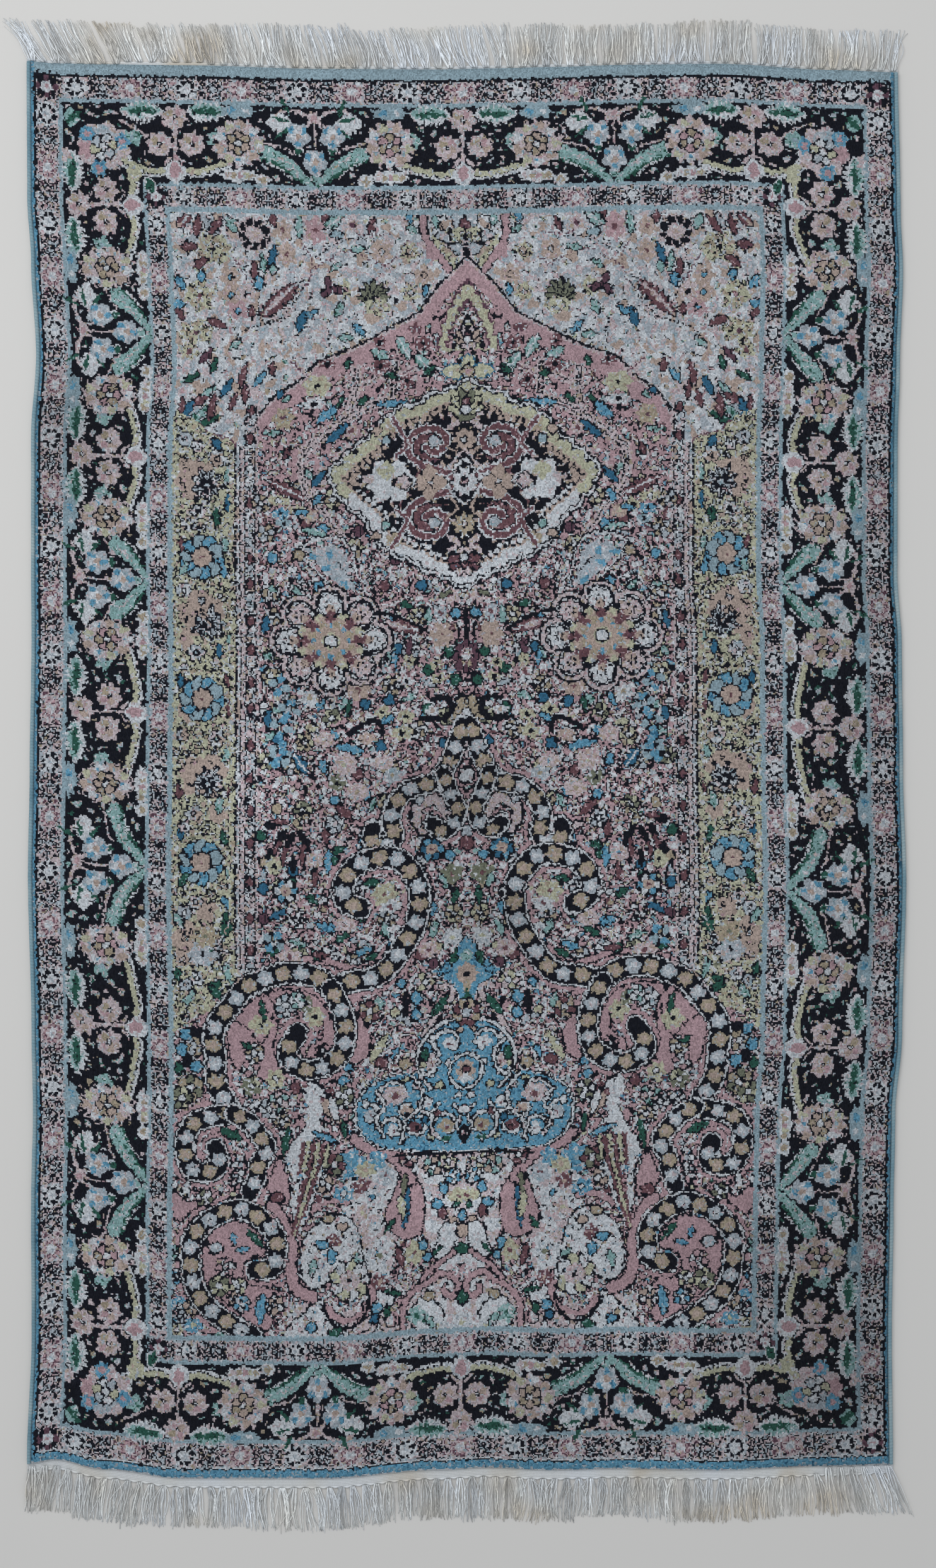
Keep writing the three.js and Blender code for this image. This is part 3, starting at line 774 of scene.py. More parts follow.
ARCH_VINES = [  # points, dye
    ([(-91, 237), (-90, 252), (-94, 271)], INK), ([(-88, 237), (-87, 252), (-91, 270)], INK),
    ([(-127, 300), (-113, 288), (-96, 276), (-77, 266), (-62, 261)], INK),
    ([(-125, 303), (-112, 292), (-96, 280), (-77, 269), (-58, 263)], INK),
    ([(-60, 233), (-60, 260)], INK), ([(-57, 233), (-57, 259)], INK),
    ([(-83, 251), (-72, 245), (-62, 242)], INK), ([(-53, 242), (-44, 238), (-36, 236)], PLUM),
    ([(-129, 300), (-131, 315), (-128, 330), (-120, 343), (-110, 352)], INK),
    ([(-126, 301), (-128, 315), (-125, 329), (-117, 341)], INK),
    ([(-108, 322), (-98, 305), (-84, 296), (-72, 288)], INK),
    ([(-106, 371), (-118, 372), (-128, 378)], INK), ([(-110, 352), (-104, 362), (-96, 370)], INK),
    ([(-141, 232), (-128, 243), (-112, 246)], PLUM),
]
# Left half of its outline, from the head down
MEDALLION = [(0, 253.5), (-12.5, 259.5), (-26, 263.5), (-31, 266.5), (-33, 271), (-48.5, 273),
             (-58, 278), (-67, 287), (-71, 294.5), (-84.5, 304), (-95, 313), (-105.5, 323.5),
             (-96, 334.5), (-88, 343), (-77, 351), (-71, 357), (-71, 364), (-65, 371.5),
             (-55, 379.5), (-46, 385), (-33, 387), (-31, 392), (-24, 396), (-10, 400), (0, 408)]
MEDALLION_MIDDLE = 0, 328.7
SCROLL_BEND = [(-4, -26), (-16, -21), (-30, -17), (-43, -9), (-44, 4), (-34, 13), (-20, 12),
               (-14, 2), (-22, -6), (-31, -2)]
# Left half of its outline, from the head down
LANCET = [(0, 168), (-5, 171), (-6, 177), (-11, 179), (-12, 187), (-17, 190), (-17, 199),
          (-22, 202), (-21, 212), (-25, 215), (-24, 224), (0, 224)]
LANCET_BANDS = ((1.0, PLUM), (0.94, GOLD), (0.72, PLUM), (0.66, ROSE), (0.48, INK), (0.42, GOLD),
                (0.26, INK))  # share of its size, dye


def mirrored(points):
    """A half outline closed with its mirror image."""
    half = np.asarray(points, float)
    return np.vstack([half, (half * (-1, 1))[::-1]])


def shrunk(points, middle, share):
    """An outline drawn in towards a middle."""
    return (np.asarray(points, float) - middle) * share + middle


def column(on, rng):
    """The pale gold column beside the niche and the slim pillar next to it."""
    outline = np.array(COLUMN_OUTLINE, float)
    on.area(outline, GOLD)
    held = on.inside(outline)
    for x, r, wide, tall in COLUMN_BLOTCHES:
        on.star(x, r, wide, tall, PEACH, 5, 0.25, x)
    for x, r in COLUMN_LOTUSES:
        lotus(on, x, r)
    for x, r, turn in COLUMN_ROSETTES:
        daisy(on, x, r, 17.5, (SKY, HAZE), count=10, heart=INK, eye=ROSE, turn=turn)
        on.star(x, r, 8, 8, PEACH, 8, 0.12)
        on.star(x, r, 1.4, 1.4, RUST)
    leaves(on, COLUMN_LEAVES)
    for x, r, size, dye in COLUMN_FLOWERS:
        ring_flower(on, x, r, size, dye)
    kinds = "curl", "dots", "curl", (IVORY, INK), "curl", (IVORY, CAMEL)
    scatter(on, held, rng, (GOLD, PEACH), 7.4, kinds)
    on.line([(-184.5, 302), (-184.5, 742)], 6, GOLD)
    on.line(curve([(-213, 280), (-203, 290), (-187, 294), (-180, 302)]), 1, PLUM)
    for left, right, dye in PILLAR_STRIPES:
        top = 300 if left < -178 else 268
        foot = PILLAR_FOOT
        stripe = on.inside([(left, top), (right, top), (right, foot), (left, foot)])
        on.knots[stripe] = dye
        squiggle(on, stripe & (dye == IVORY) & (left > -178), rng, 4.4, 0.34)
        squiggle(on, stripe & (dye == BLUSH), rng, 4.0, 0.12)
        on.line([(left, top), (left, foot)], 1.3, INK, dash=(3.6, 0.8))
    for r in PILLAR_LOZENGES:
        on.star(-170.4, r, 2.2, 4.2, RUST, rim=INK)


def lotus(on, x, r):
    """A feathery flower, dark at heart, beside a soft peach spot."""
    on.star(x - 8, r - 5, 16, 16, PEACH, 5, 0.25, r)
    for k in range(9):
        reach, dye = ((15, IVORY), (11.5, SILVER), (13, IVORY))[k % 3]
        on.leaf(x, r, reach, 7, k * 2 * np.pi / 9 + r, dye, rim=INK, teeth=3, vein=INK)
    for k in range(5):
        on.star(x + 4 * np.cos(1.26 * k + r), r + 4 * np.sin(1.26 * k + r), 1.9, 1.9, INK)
    on.star(x, r, 1.8, 1.8, IVORY)


def medallion(on, rng):
    """The big pointed medallion: a gold band round a dark ground with rust scrolls."""
    outline = mirrored(MEDALLION)
    middle = np.array(MEDALLION_MIDDLE)
    lobes = [place for place in spaced(shrunk(outline, middle, 0.95), 13.5) if place[0] < 4]
    for grow, dye in ((12.4, INK), (10.8, IVORY), (9.0, INK), (7.8, None)):
        for x, r, _turn in lobes:
            on.star(x, r, grow, grow, dye if dye is not None else GOLD if r < 338 else IVORY)
    on.area(shrunk(outline, middle, 0.93), PEACH)
    on.area(shrunk(outline, middle, 0.89), INK)
    dark = on.inside(shrunk(outline, middle, 0.89))
    for x, r, _turn in spaced(shrunk(outline, middle, 0.87), 5.5):
        if x < 2:
            on.star(x, r, 2.2, 2.2, PEACH if r < 330 else IVORY)
    for x, r, _turn in spaced(shrunk(outline, middle, 0.9), 5.5, 2.7):
        if x < 2:
            on.star(x, r, 1.3, 1.3, INK)
    for side, r in ((-1, 299), (1, 358)):
        bend = curve([(x, r + side * down) for x, down in SCROLL_BEND])
        on.star(-30, r, 17, 15, RUST, 7, 0.15)
        on.star(-56, r + side * 16, 7, 6, CAMEL, 5, 0.3)
        on.line(bend, 9, INK)
        on.line(bend, 7, IVORY)
        on.line(bend, 4.6, RUST)
        on.star(-24, r + side * 3, 5, 4.4, SILVER, 4, 0.2, rim=INK)
        tail = curve([(-58, r + side * 22), (-50, r + side * 10), (-46, r), (-54, r - side * 8)])
        on.line(tail, 5, IVORY)
        on.line(tail, 3, RUST)
        bow = curve([(-12, r + side * 14), (-5, r + side * 20), (-12, r + side * 25)])
        on.line(bow, 4.4, BLUSH)
        on.line(curve([(-10, r - side * 18), (-6, r - side * 8), (-14, r - side * 1)]), 2, PEACH)
        on.star(-8, r - side * 27, 4, 5, RUST, rim=IVORY)
        on.star(-62, r + side * 4, 3.4, 3.4, MINT if side > 0 else HAZE, rim=INK)
        on.star(-70, r + side * 12, 4, 3.4, PEACH, 4, 0.2, rim=INK)
        ring_flower(on, 0.5, r + side * 4, 10, PEACH if side < 0 else CAMEL, 8)
    on.line(curve([(-14, 318), (0, 303)]), 2, BLUSH)
    on.line(curve([(-16, 328.7), (-8, 318), (0, 310)]), 1.6, IVORY)
    on.line(curve([(-16, 328.7), (-8, 340), (0, 346)]), 1.6, IVORY)
    for x, r in ((-27.5, 321), (-27.5, 337), (-35, 329), (-20, 329)):
        on.star(x, r, 6, 6.4, PEACH, 4, 0.2)
    on.star(-27.5, 329, 2.4, 2.4, INK)
    on.star(-27.5, 329, 1.2, 1.2, IVORY)
    ring_flower(on, 0.5, 328.7, 12, IVORY, 10)
    on.star(0.5, 328.7, 3.4, 3.4, INK)
    on.star(0.5, 328.7, 1.9, 1.9, ROSE)
    on.star(-59, 327, 21, 18, IVORY, 6, 0.22, rim=INK)
    on.star(-62, 319, 7, 8, GOLD, 4, 0.3)
    on.star(-55, 327, 4, 5, INK, 3, 0.3)
    on.star(-48, 328, 6, 6, BLUSH, 4, 0.2, rim=INK)
    on.leaf(-78, 325, 14, 12, np.pi, PEACH, rim=INK)
    on.star(-80, 325, 6, 7.5, INK, 4, 0.2)
    on.star(-76, 325, 5.6, 4.6, BLUSH, 5, 0.2)
    tangle(on, dark, rng, INK, (RUST, PEACH, BLUSH, CAMEL, IVORY), 8.0, 0.1, 1.0, NONE_PALE)
    palmette(on, 0, 271, 15, -QUARTER, (GOLD, MOSS))
    palmette(on, 0, 389, 14, QUARTER, (RUST, BLUSH))


def under_arch(on):
    """The plain rose just under the arch line."""
    return on.inside(NICHE) & ~on.inside(NICHE + (0, 17))


def arch(on):
    """The rose ground of the niche with its sprays, under the arch line."""
    on.area(NICHE, ROSE)
    held = on.inside(NICHE)
    crowd(on, held & (ROWS > CROWN_FOOT), np.random.default_rng(17))
    line = curve(ARCH)
    on.line(line + (0, 1.5), 3, BLUSH)
    on.line(line, 2, INK)
    for share, dye in LANCET_BANDS:
        on.area(shrunk(mirrored(LANCET), (0, 222), share), dye)
    palmette(on, 0, 216, 11, -QUARTER, (PEACH, BLUSH))
    for turn, size in ((0, 21), (np.pi, 21), (-QUARTER, 13), (QUARTER, 13)):
        on.leaf(0.5, 240.5, size, 11, turn, GOLD, rim=LAKE)
    on.star(0.5, 240.5, 6, 5, CAMEL, 4, 0.2, rim=INK)
    on.star(0.5, 240.5, 2.6, 2.2, ROSE)
    for points, _dye in ARCH_VINES:
        on.line(curve(points), 5, BLUSH)
    vines(on, ARCH_VINES, dash=(3, 1))
    blooms(on, ARCH_BLOOMS)
    leaves(on, ARCH_LEAVES)
    return held


# Between the medallion and the vase: two side medallions, palmettes and the first dark scrolls

SIDE_MEDALLION = -107.3, 452.3
PEAR = [(-128, 379), (-118, 373), (-106, 371), (-96, 374), (-89, 384), (-87, 396), (-83, 410),
        (-78, 420), (-88, 419), (-98, 414), (-110, 404), (-121, 392)]
MID_LEAVES = [  # x and r of the stem end, length, width, direction in degrees, dye
    (-65, 438, 31, 10, 17, RUST), (-137, 408, 14, 5, 50, MINT), (-154, 509, 11, 6, -20, MINT),
    (-30, 443, 15, 6, -85, MINT), (-62, 470, 12, 6, -70, MINT), (-56, 474, 12, 5, -100, SKY),
    (-100, 507, 10, 6, -60, MINT), (-40, 497, 11, 7, 160, MINT), (-68, 519, 12, 6, -30, SKY),
    (-160, 447, 14, 6, -80, LAKE), (-157, 412, 8, 5, 0, MINT), (-44, 452, 14, 6, 100, PLUM),
    (-72, 452, 12, 5, 60, LEAF), (-52, 424, 10, 6, 20, LEAF), (-92, 500, 12, 5, 100, LEAF),
    (-118, 508, 12, 5, -60, SKY), (-160, 468, 10, 6, -50, MINT), (-158, 520, 12, 6, -80, LAKE),
    (-36, 486, 12, 5, 20, SILVER), (-20, 420, 10, 5, -30, MOSS), (-128, 520, 12, 6, 10, GOLD),
]
MID_BLOOMS = [  # x, r, half width, half height, dye, eye
    (-19.5, 450, 10, 11, PEACH, RUST), (-24, 473, 6, 4, GOLD, INK), (-22, 484, 7, 4, GOLD, INK),
    (-45.5, 470, 5, 5, GOLD, INK), (-85, 492, 10, 8, PEACH, RUST), (-66, 510, 7, 5, GOLD, INK),
    (-48, 514, 7, 6, GOLD, INK), (-51, 527, 9, 6, GOLD, INK), (-124, 497, 7, 7, IVORY, CAMEL),
    (-12, 418, 8, 7, BLUSH, RUST), (-20, 432, 6, 6, SILVER, RUST), (-70, 428, 8, 5, BLUSH, ROSE),
    (-112, 530, 9, 7, BLUSH, ROSE), (-48, 486, 5, 4, IVORY, INK), (-100, 520, 8, 5, ROSE, INK),
    (-27, 510, 7, 4, IVORY, PEACH), (-78, 530, 7, 5, PEACH, ROSE),
]
MID_VINES = [  # points, dye
    ([(-103, 388), (-94, 398), (-84, 412)], INK),
    ([(-90, 380), (-88, 394), (-83, 410), (-78, 421)], INK),
    ([(-74, 384), (-72, 398), (-68, 412), (-62, 424), (-54, 432)], INK),
    ([(-77, 384), (-75, 399), (-71, 413)], INK),
    ([(-36, 426), (-34, 440), (-31, 452), (-32, 466)], INK),
    ([(-33, 426), (-31, 440), (-28, 450)], INK), ([(-8, 436), (-6, 448), (-10, 460)], INK),
    ([(-70, 500), (-62, 496), (-56, 486)], INK), ([(-130, 508), (-118, 520), (-110, 532)], INK),
    ([(-56, 486), (-55, 498), (-54, 508)], INK), ([(-130, 512), (-134, 524), (-132, 534)], INK),
    ([(-100, 493), (-110, 500), (-118, 496)], INK),
]
SMALL_BLUES = ((-148, 488), (-140.3, 506.5), (-146.2, 521), (-147, 540))
INK_SCROLL_STARTS = [
    [(-27, 501), (-18, 500), (-12, 504), (-12, 511), (-18, 517)],
    [(-93, 526), (-84, 520), (-74, 516), (-68, 519), (-67, 527)],
    [(-36, 516), (-28, 516), (-18, 517)],
]


def side_medallion(on):
    """The small eight-lobed medallion to one side of the middle line."""
    x, r = SIDE_MEDALLION
    lobes = places_round(x, r, 34, 29, 8)
    for grow, dye in ((16.2, INK), (14.6, BLUSH), (11.8, INK), (10.2, IVORY)):
        for _number, lobe in lobes:
            on.star(*lobe, grow, grow, dye)
    on.star(x, r, 27, 23, PEACH, 8, 0.3, np.pi / 8, rim=INK)
    for number, lobe in lobes:
        turn = number * np.pi / 4
        on.star(*lobe, 9.4, 8.8, (IVORY, BLUSH)[number % 2], 7, 0.2, turn, rim=INK)
        on.star(lobe[0] - 7 * np.cos(turn), lobe[1] - 6 * np.sin(turn), 4.6, 4.6, RUST, 5, 0.4)
        on.star(lobe[0] - 4 * np.cos(turn), lobe[1] - 3.4 * np.sin(turn), 3.8, 3.8, PEACH, 3, 0.2)
        for bearing in np.arange(5) * 1.256:
            on.star(lobe[0] + 3 * np.cos(bearing), lobe[1] + 3 * np.sin(bearing), 1.0, 1.3, INK)
        between = turn + np.pi / 8
        on.star(x + 25 * np.cos(between), r + 21 * np.sin(between), 3.6, 3.6, GOLD, 4, 0.3)
        on.star(x + 20 * np.cos(turn), r + 17 * np.sin(turn), 4.4, 4.4, RUST, 4, 0.4)
        on.star(x + 14 * np.cos(turn), r + 12.4 * np.sin(turn), 2.0, 2.0, SKY)
        on.star(x + 16 * np.cos(between), r + 14 * np.sin(between), 3.4, 3.4, CAMEL, 4, 0.3)
        on.star(x + 29 * np.cos(between), r + 25 * np.sin(between), 2.2, 2.2, INK)
    on.star(x, r, 7.5, 7, GOLD, 4, 0.1)
    on.star(x, r, 4.8, 4.6, IVORY, 4, 0.12, np.pi / 4, rim=INK)


def middle_field(on):
    """Palmettes, sprays and small flowers under the big medallion."""
    on.area(shrunk(PEAR, (-103, 394), 1.14), INK)
    on.area(shrunk(PEAR, (-103, 394), 1.08), IVORY)
    on.area(PEAR, ROSE)
    on.area(shrunk(PEAR, (-104, 392), 0.72), SILVER)
    for x, r, turn in ((-125, 386, 0), (-108, 389, -80), (-113, 397, -30), (-99, 405, 35)):
        on.leaf(x, r, 9, 4, np.radians(turn), SKY)
    vines(on, MID_VINES, dash=(2, 1))
    blooms(on, MID_BLOOMS)
    leaves(on, MID_LEAVES)
    side_medallion(on)
    on.line(curve([(-72, 430), (-58, 433), (-46, 438), (-33, 446)]), 3, INK)
    on.leaf(-60, 440, 16, 5, 0.3, BLUSH)
    on.line([(0, 431), (0, 452)], 5, INK)
    on.star(0, 467.5, 11, 14, PLUM, 8, 0.3, rim=INK)
    on.star(0, 467.5, 6, 9, ROSE, 6, 0.3)
    on.star(0, 493, 7.6, 7.6, INK)
    on.star(0, 492.5, 5.8, 5.8, ROSE)
    on.star(0, 506, 15, 7, INK, 9, 0.4)
    daisy(on, 0, 512.5, 14, (CAMEL,), heart=CAMEL, eye=IVORY, turn=0.4)
    on.star(0, 512.5, 3.6, 4, IVORY, 6, 0.3, rim=INK)
    for x, r in SMALL_BLUES:
        four_petals(on, x, r, 0.3)
    for path in INK_SCROLL_STARTS:
        on.line(curve(path), 4.4, INK)


# The dark scrolls strung with square rosettes, and what they enclose

SCROLLS = [  # points, width, step between rosettes, rosette size
    ([(-3, 522), (-7, 534), (-11, 545), (-17, 557), (-26, 567), (-43, 571), (-54, 580), (-60, 594),
      (-57, 609), (-66, 616), (-75, 610), (-74, 602)], 13, 13.0, 5.8),
    ([(-18, 560), (-13, 575), (-7, 588), (-10, 600), (-20, 606), (-27, 600)], 11, 12.5, 5.0),
    ([(-84, 664), (-95, 658), (-97, 645), (-88, 631), (-72, 625), (-56, 626), (-46, 635),
      (-39, 646), (-37, 659), (-39, 672), (-42, 683), (-50, 696), (-60, 710), (-72, 719),
      (-89, 721), (-106, 725), (-118, 718), (-131, 715), (-145, 715), (-161, 720), (-175, 727),
      (-185, 739), (-197, 754), (-201, 767), (-199, 779), (-199, 791), (-197, 805), (-187, 822)],
      15, 14.4, 6.2),
    ([(-107, 727), (-100, 741), (-96, 754), (-96, 767), (-100, 779), (-114, 789), (-131, 790),
      (-142, 778), (-134, 762)], 14, 13.4, 5.8),
    ([(-184, 826), (-198, 828), (-215, 833), (-222, 845), (-222, 859), (-216, 870), (-203, 872),
      (-195, 866), (-198, 854)], 14, 13.6, 5.8),
    ([(-184, 826), (-172, 833), (-163, 843), (-157, 854), (-164, 867), (-165, 877), (-170, 888)],
      13, 12.8, 5.6),
    ([(-165, 949), (-152, 947), (-148, 935), (-150, 920), (-162, 908), (-178, 901), (-193, 905),
      (-206, 913), (-216, 926), (-217, 942), (-215, 959), (-208, 973), (-197, 984), (-180, 995),
      (-167, 1002)], 14, 13.8, 6.0),
]
SWEEP_LEAVES = [  # x and r of the stem end, length, width, direction in degrees, dye
    (-104, 535, 24, 7, 12, SKY), (-136, 542, 18, 9, 55, LAKE), (-70, 594, 28, 9, 125, SKY),
    (-103, 582, 18, 7, 40, RUST), (-109, 617, 19, 6, 90, SKY), (-106, 620, 11, 6, -25, LEAF),
    (-148, 598, 11, 6, 180, INK), (-142, 602, 12, 5, 130, INK), (-151, 617, 10, 5, 135, INK),
    (-136, 604, 12, 5, 120, INK), (-131, 604, 17, 6, 62, INK), (-137, 622, 13, 5, 88, INK),
    (-140, 596, 14, 4, 183, RUST), (-146, 610, 13, 4, 118, RUST), (-128, 612, 18, 4, 95, RUST),
    (-142, 614, 16, 4, 100, RUST), (-126, 653, 11, 6, 35, LEAF), (-119, 632, 15, 5, 92, RUST),
    (-81, 645, 12, 6, -8, LEAF), (-112, 600, 13, 6, 80, RUST), (-72, 577, 12, 5, 110, MINT),
    (-150, 640, 12, 5, 70, GOLD), (-158, 532, 10, 6, -50, MINT), (-92, 600, 14, 5, 20, BLUSH),
    (-155, 672, 14, 6, -30, LAKE), (-118, 676, 14, 6, 20, SKY), (-104, 690, 13, 6, -30, LEAF),
    (-140, 688, 14, 6, 20, MINT), (-66, 676, 13, 6, 70, MINT), (-88, 700, 14, 6, -20, SKY),
    (-158, 700, 12, 5, -20, LEAF), (-70, 700, 12, 5, 150, LEAF), (-122, 700, 14, 5, 0, RUST),
    (-20, 640, 12, 6, 70, MINT), (-8, 651, 13, 6, 100, LEAF), (-26, 662, 11, 5, 100, SKY),
    (-8, 700, 14, 6, 110, LEAF), (-28, 690, 14, 6, -70, MINT), (-20, 720, 12, 6, -60, SKY),
]
SWEEP_BLOOMS = [  # x, r, half width, half height, dye, eye
    (-65, 654, 11, 10, GOLD, RUST), (-151, 630, 7, 8, GOLD, INK), (-102, 565, 7, 7, MOSS, INK),
    (-30, 545, 9, 6, ROSE, RUST), (-42, 548, 8, 7, ROSE, RUST), (-66, 550, 9, 6, BLUSH, ROSE),
    (-96, 550, 10, 10, BLUSH, GOLD), (-86, 572, 10, 8, BLUSH, CAMEL),
    (-58, 560, 9, 6, SILVER, CAMEL), (-122, 598, 8, 7, ROSE, BLUSH), (-98, 612, 9, 8, ROSE, BLUSH),
    (-120, 625, 8, 7, BLUSH, ROSE), (-60, 664, 9, 6, IVORY, RUST), (-50, 652, 5, 8, ROSE, GOLD),
    (-12, 640, 10, 8, MOSS, RUST), (-118, 690, 10, 7, ROSE, IVORY), (-140, 702, 11, 7, BLUSH, RUST),
    (-96, 676, 10, 7, BLUSH, ROSE), (-56, 686, 7, 8, IVORY, RUST), (-30, 700, 9, 7, BLUSH, RUST),
    (-12, 690, 8, 8, IVORY, GOLD),
]
SWEEP_VINES = [  # points, dye
    ([(-119, 542), (-120, 554), (-118, 567)], INK), ([(-111, 542), (-110, 552), (-113, 561)], INK),
    ([(-158, 573), (-150, 572), (-142, 575)], INK), ([(-132, 590), (-124, 584), (-112, 577)], INK),
    ([(-136, 592), (-126, 590), (-116, 584), (-108, 584)], INK),
    ([(-160, 660), (-152, 652), (-146, 640)], INK),
    ([(-120, 664), (-108, 668), (-98, 676), (-92, 690)], INK),
    ([(-152, 676), (-140, 672), (-126, 672)], INK), ([(-64, 672), (-60, 684), (-64, 698)], INK),
    ([(-16, 628), (-14, 640), (-8, 648)], INK),
    ([(-30, 640), (-26, 652), (-30, 668), (-24, 684)], INK),
    ([(-10, 665), (-12, 676), (-6, 690)], INK), ([(-160, 630), (-156, 642), (-158, 654)], INK),
    ([(-100, 664), (-88, 676), (-76, 680)], PLUM),
]


def scroll(on, points, width, step, size):
    """A dark band with a pale edge, strung with squarish rosettes of two dyes in turn."""
    path = curve(points)
    on.line(path, width + 5, INK, dash=(3, 1))
    on.line(path, width + 2.8, IVORY)
    on.line(path, width, INK)
    for number, (x, r, heading) in enumerate(spaced(path, step, step * 0.4)):
        body, heart = ((CAMEL, PEACH), (SILVER, IVORY))[number % 2]
        on.star(x, r, size * 1.1, size * 1.02, body, 4 + number % 3, 0.2, heading + number)
        on.star(x, r, size * 0.6, size * 0.5, heart, 4, 0.3, heading)


def beside_scrolls(on, margin):
    """True for every knot near a scroll, where the ground stays plain."""
    near = Chart(*on.knots.shape, on.left, 0)
    for points, width, _step, _size in SCROLLS:
        near.line(curve(points), width + 2 * margin, 1)
    return near.knots == 1


def sweep(on):
    """The field round the scrolls, from the pillar's foot to the vase."""
    vines(on, SWEEP_VINES, dash=(2, 1))
    blooms(on, SWEEP_BLOOMS)
    leaves(on, SWEEP_LEAVES)
    four_petals(on, -148, 545, 0.6)
    four_petals(on, -152, 690, 0.6)
    for x, r, dyes in ((-142.5, 650, (SKY, IVORY)), (-27.5, 620, (SKY, LAKE))):
        on.star(x, r, 11, 11, INK, 9, 0.15)
        daisy(on, x, r, 9, dyes, count=6, heart=PEACH, eye=RUST)
    on.star(-29, 592, 17, 20, INK, 9, 0.08)
    on.star(-29, 592, 15, 18, BLUSH, 9, 0.12)
    for grow, dye in ((12, INK), (10.6, ROSE), (7, INK), (5.6, IVORY)):
        on.star(-28, 596, grow * 0.8, grow, dye, 5, 0.15)
    on.star(-27.5, 598, 3, 5, CAMEL, rim=INK)
    on.star(-38, 580, 4, 4, SILVER, 5, 0.2, rim=INK)
    on.star(0, 562, 13, 13, INK, 4, 0.15)
    on.star(0, 562, 11, 11, ROSE, 4, 0.2)
    on.star(0, 562, 6.6, 6.6, IVORY, 4, 0.2, np.pi / 4, rim=INK)
    for r, size, dye in ((544, 4, BLUSH), (552, 3, ROSE), (586, 6.4, GOLD), (606, 5, SILVER),
                         (616, 6, RUST)):
        on.star(0, r, size, size, dye, 5, 0.2, rim=INK)
    on.line(curve([(-85, 617), (-72, 619), (-56, 620)]), 3, INK)
    for points, width, step, size in SCROLLS:
        scroll(on, points, width, step, size)


# The foot of the field: plain rosy grounds, the vase on its foot, the bird, ribbons and cartouches

LOWER_EDGE = [(-232, 763), (-206, 742), (-184, 725), (-160, 712), (-120, 708), (-80, 711),
              (-60, 700), (0, 690), (0, 1002), (-232, 1002)]
PLAIN_PINKS = [
    [(-158, 730), (-140, 727), (-122, 731), (-112, 741), (-105, 757), (-104, 772), (-110, 783),
     (-126, 782), (-124, 772), (-114, 764), (-116, 748), (-130, 737), (-150, 738), (-156, 760),
     (-164, 770), (-172, 760), (-184, 750), (-170, 737)],
    [(-86, 748), (-80, 756), (-76, 768), (-78, 780), (-90, 788), (-98, 786), (-90, 776),
     (-87, 762)],
    [(-189, 750), (-177, 735), (-164, 728), (-152, 740), (-150, 759), (-153, 773), (-149, 788),
     (-142, 797), (-149, 805), (-164, 798), (-177, 794), (-187, 782)],
    [(-147, 860), (-142, 870), (-138, 884), (-140, 898), (-150, 892), (-157, 884), (-153, 872)],
    [(-50, 880), (-56, 893), (-61, 905), (-61, 914), (-57, 922), (-49, 928), (-40, 929), (-33, 924),
     (-30, 910), (-31, 893), (-38, 880)],
    [(-205, 928), (-208, 941), (-205, 957), (-195, 970), (-180, 982), (-170, 991), (-157, 997),
     (-151, 989), (-156, 980), (-149, 972), (-157, 962), (-169, 961), (-175, 953), (-174, 944),
     (-167, 939), (-157, 936), (-160, 924), (-170, 914), (-186, 911), (-197, 916)],
    [(-232, 887), (-232, 904), (-226, 911), (-216, 903), (-203, 895), (-192, 889), (-204, 889),
     (-218, 896)],
]
PALE_GROUND = [(-88, 868), (-70, 860), (-58, 868), (-46, 882), (-40, 900), (-44, 920), (-54, 931),
               (-58, 960), (-56, 1002), (-140, 1002), (-140, 985), (-128, 975), (-118, 976),
               (-100, 984), (-84, 978), (-76, 962), (-80, 940), (-84, 912), (-98, 906)]
FOOT_GROUND = [(-54, 864), (0, 864), (0, 1002), (-50, 1002), (-46, 978), (-30, 966), (-18, 952),
               (-30, 926), (-31, 904), (-38, 880)]
FOOT_CENTRE = [(-30, 906), (0, 906), (0, 1002), (-34, 1002), (-44, 985), (-36, 966)]
RIBBONS = [  # points, width, dye
    ([(-86, 846), (-76, 853), (-62, 858), (-50, 868), (-42, 882)], 9, ROSE),
    ([(-150, 952), (-143, 928), (-134, 912), (-120, 902), (-104, 894), (-92, 896)], 4, ROSE),
    ([(-152, 898), (-143, 912), (-137, 930), (-137, 950), (-132, 964), (-120, 970)], 9, ROSE),
    ([(-74, 957), (-72, 972), (-80, 987), (-95, 989), (-109, 980)], 5, ROSE),
    ([(-47, 1002), (-47, 990), (-45, 978), (-36, 969), (-24, 963), (-18, 957), (-8, 960), (-3, 967),
      (-6, 975), (-13, 974), (-14, 968)], 4.2, ROSE),
    ([(-3, 938), (-14, 946), (-25, 954), (-32, 962)], 3.4, ROSE),
    ([(-84, 986), (-90, 996), (-84, 1002), (-74, 1000), (-66, 990), (-60, 1000), (-52, 998)],
      3.4, BLUSH),
    ([(-34, 768), (-24, 752), (-12, 738), (-12, 728), (-20, 730)], 4, BLUSH),
    ([(-158, 708), (-120, 703), (-100, 708), (-80, 712), (-66, 706), (-54, 690)], 4, ROSE),
]
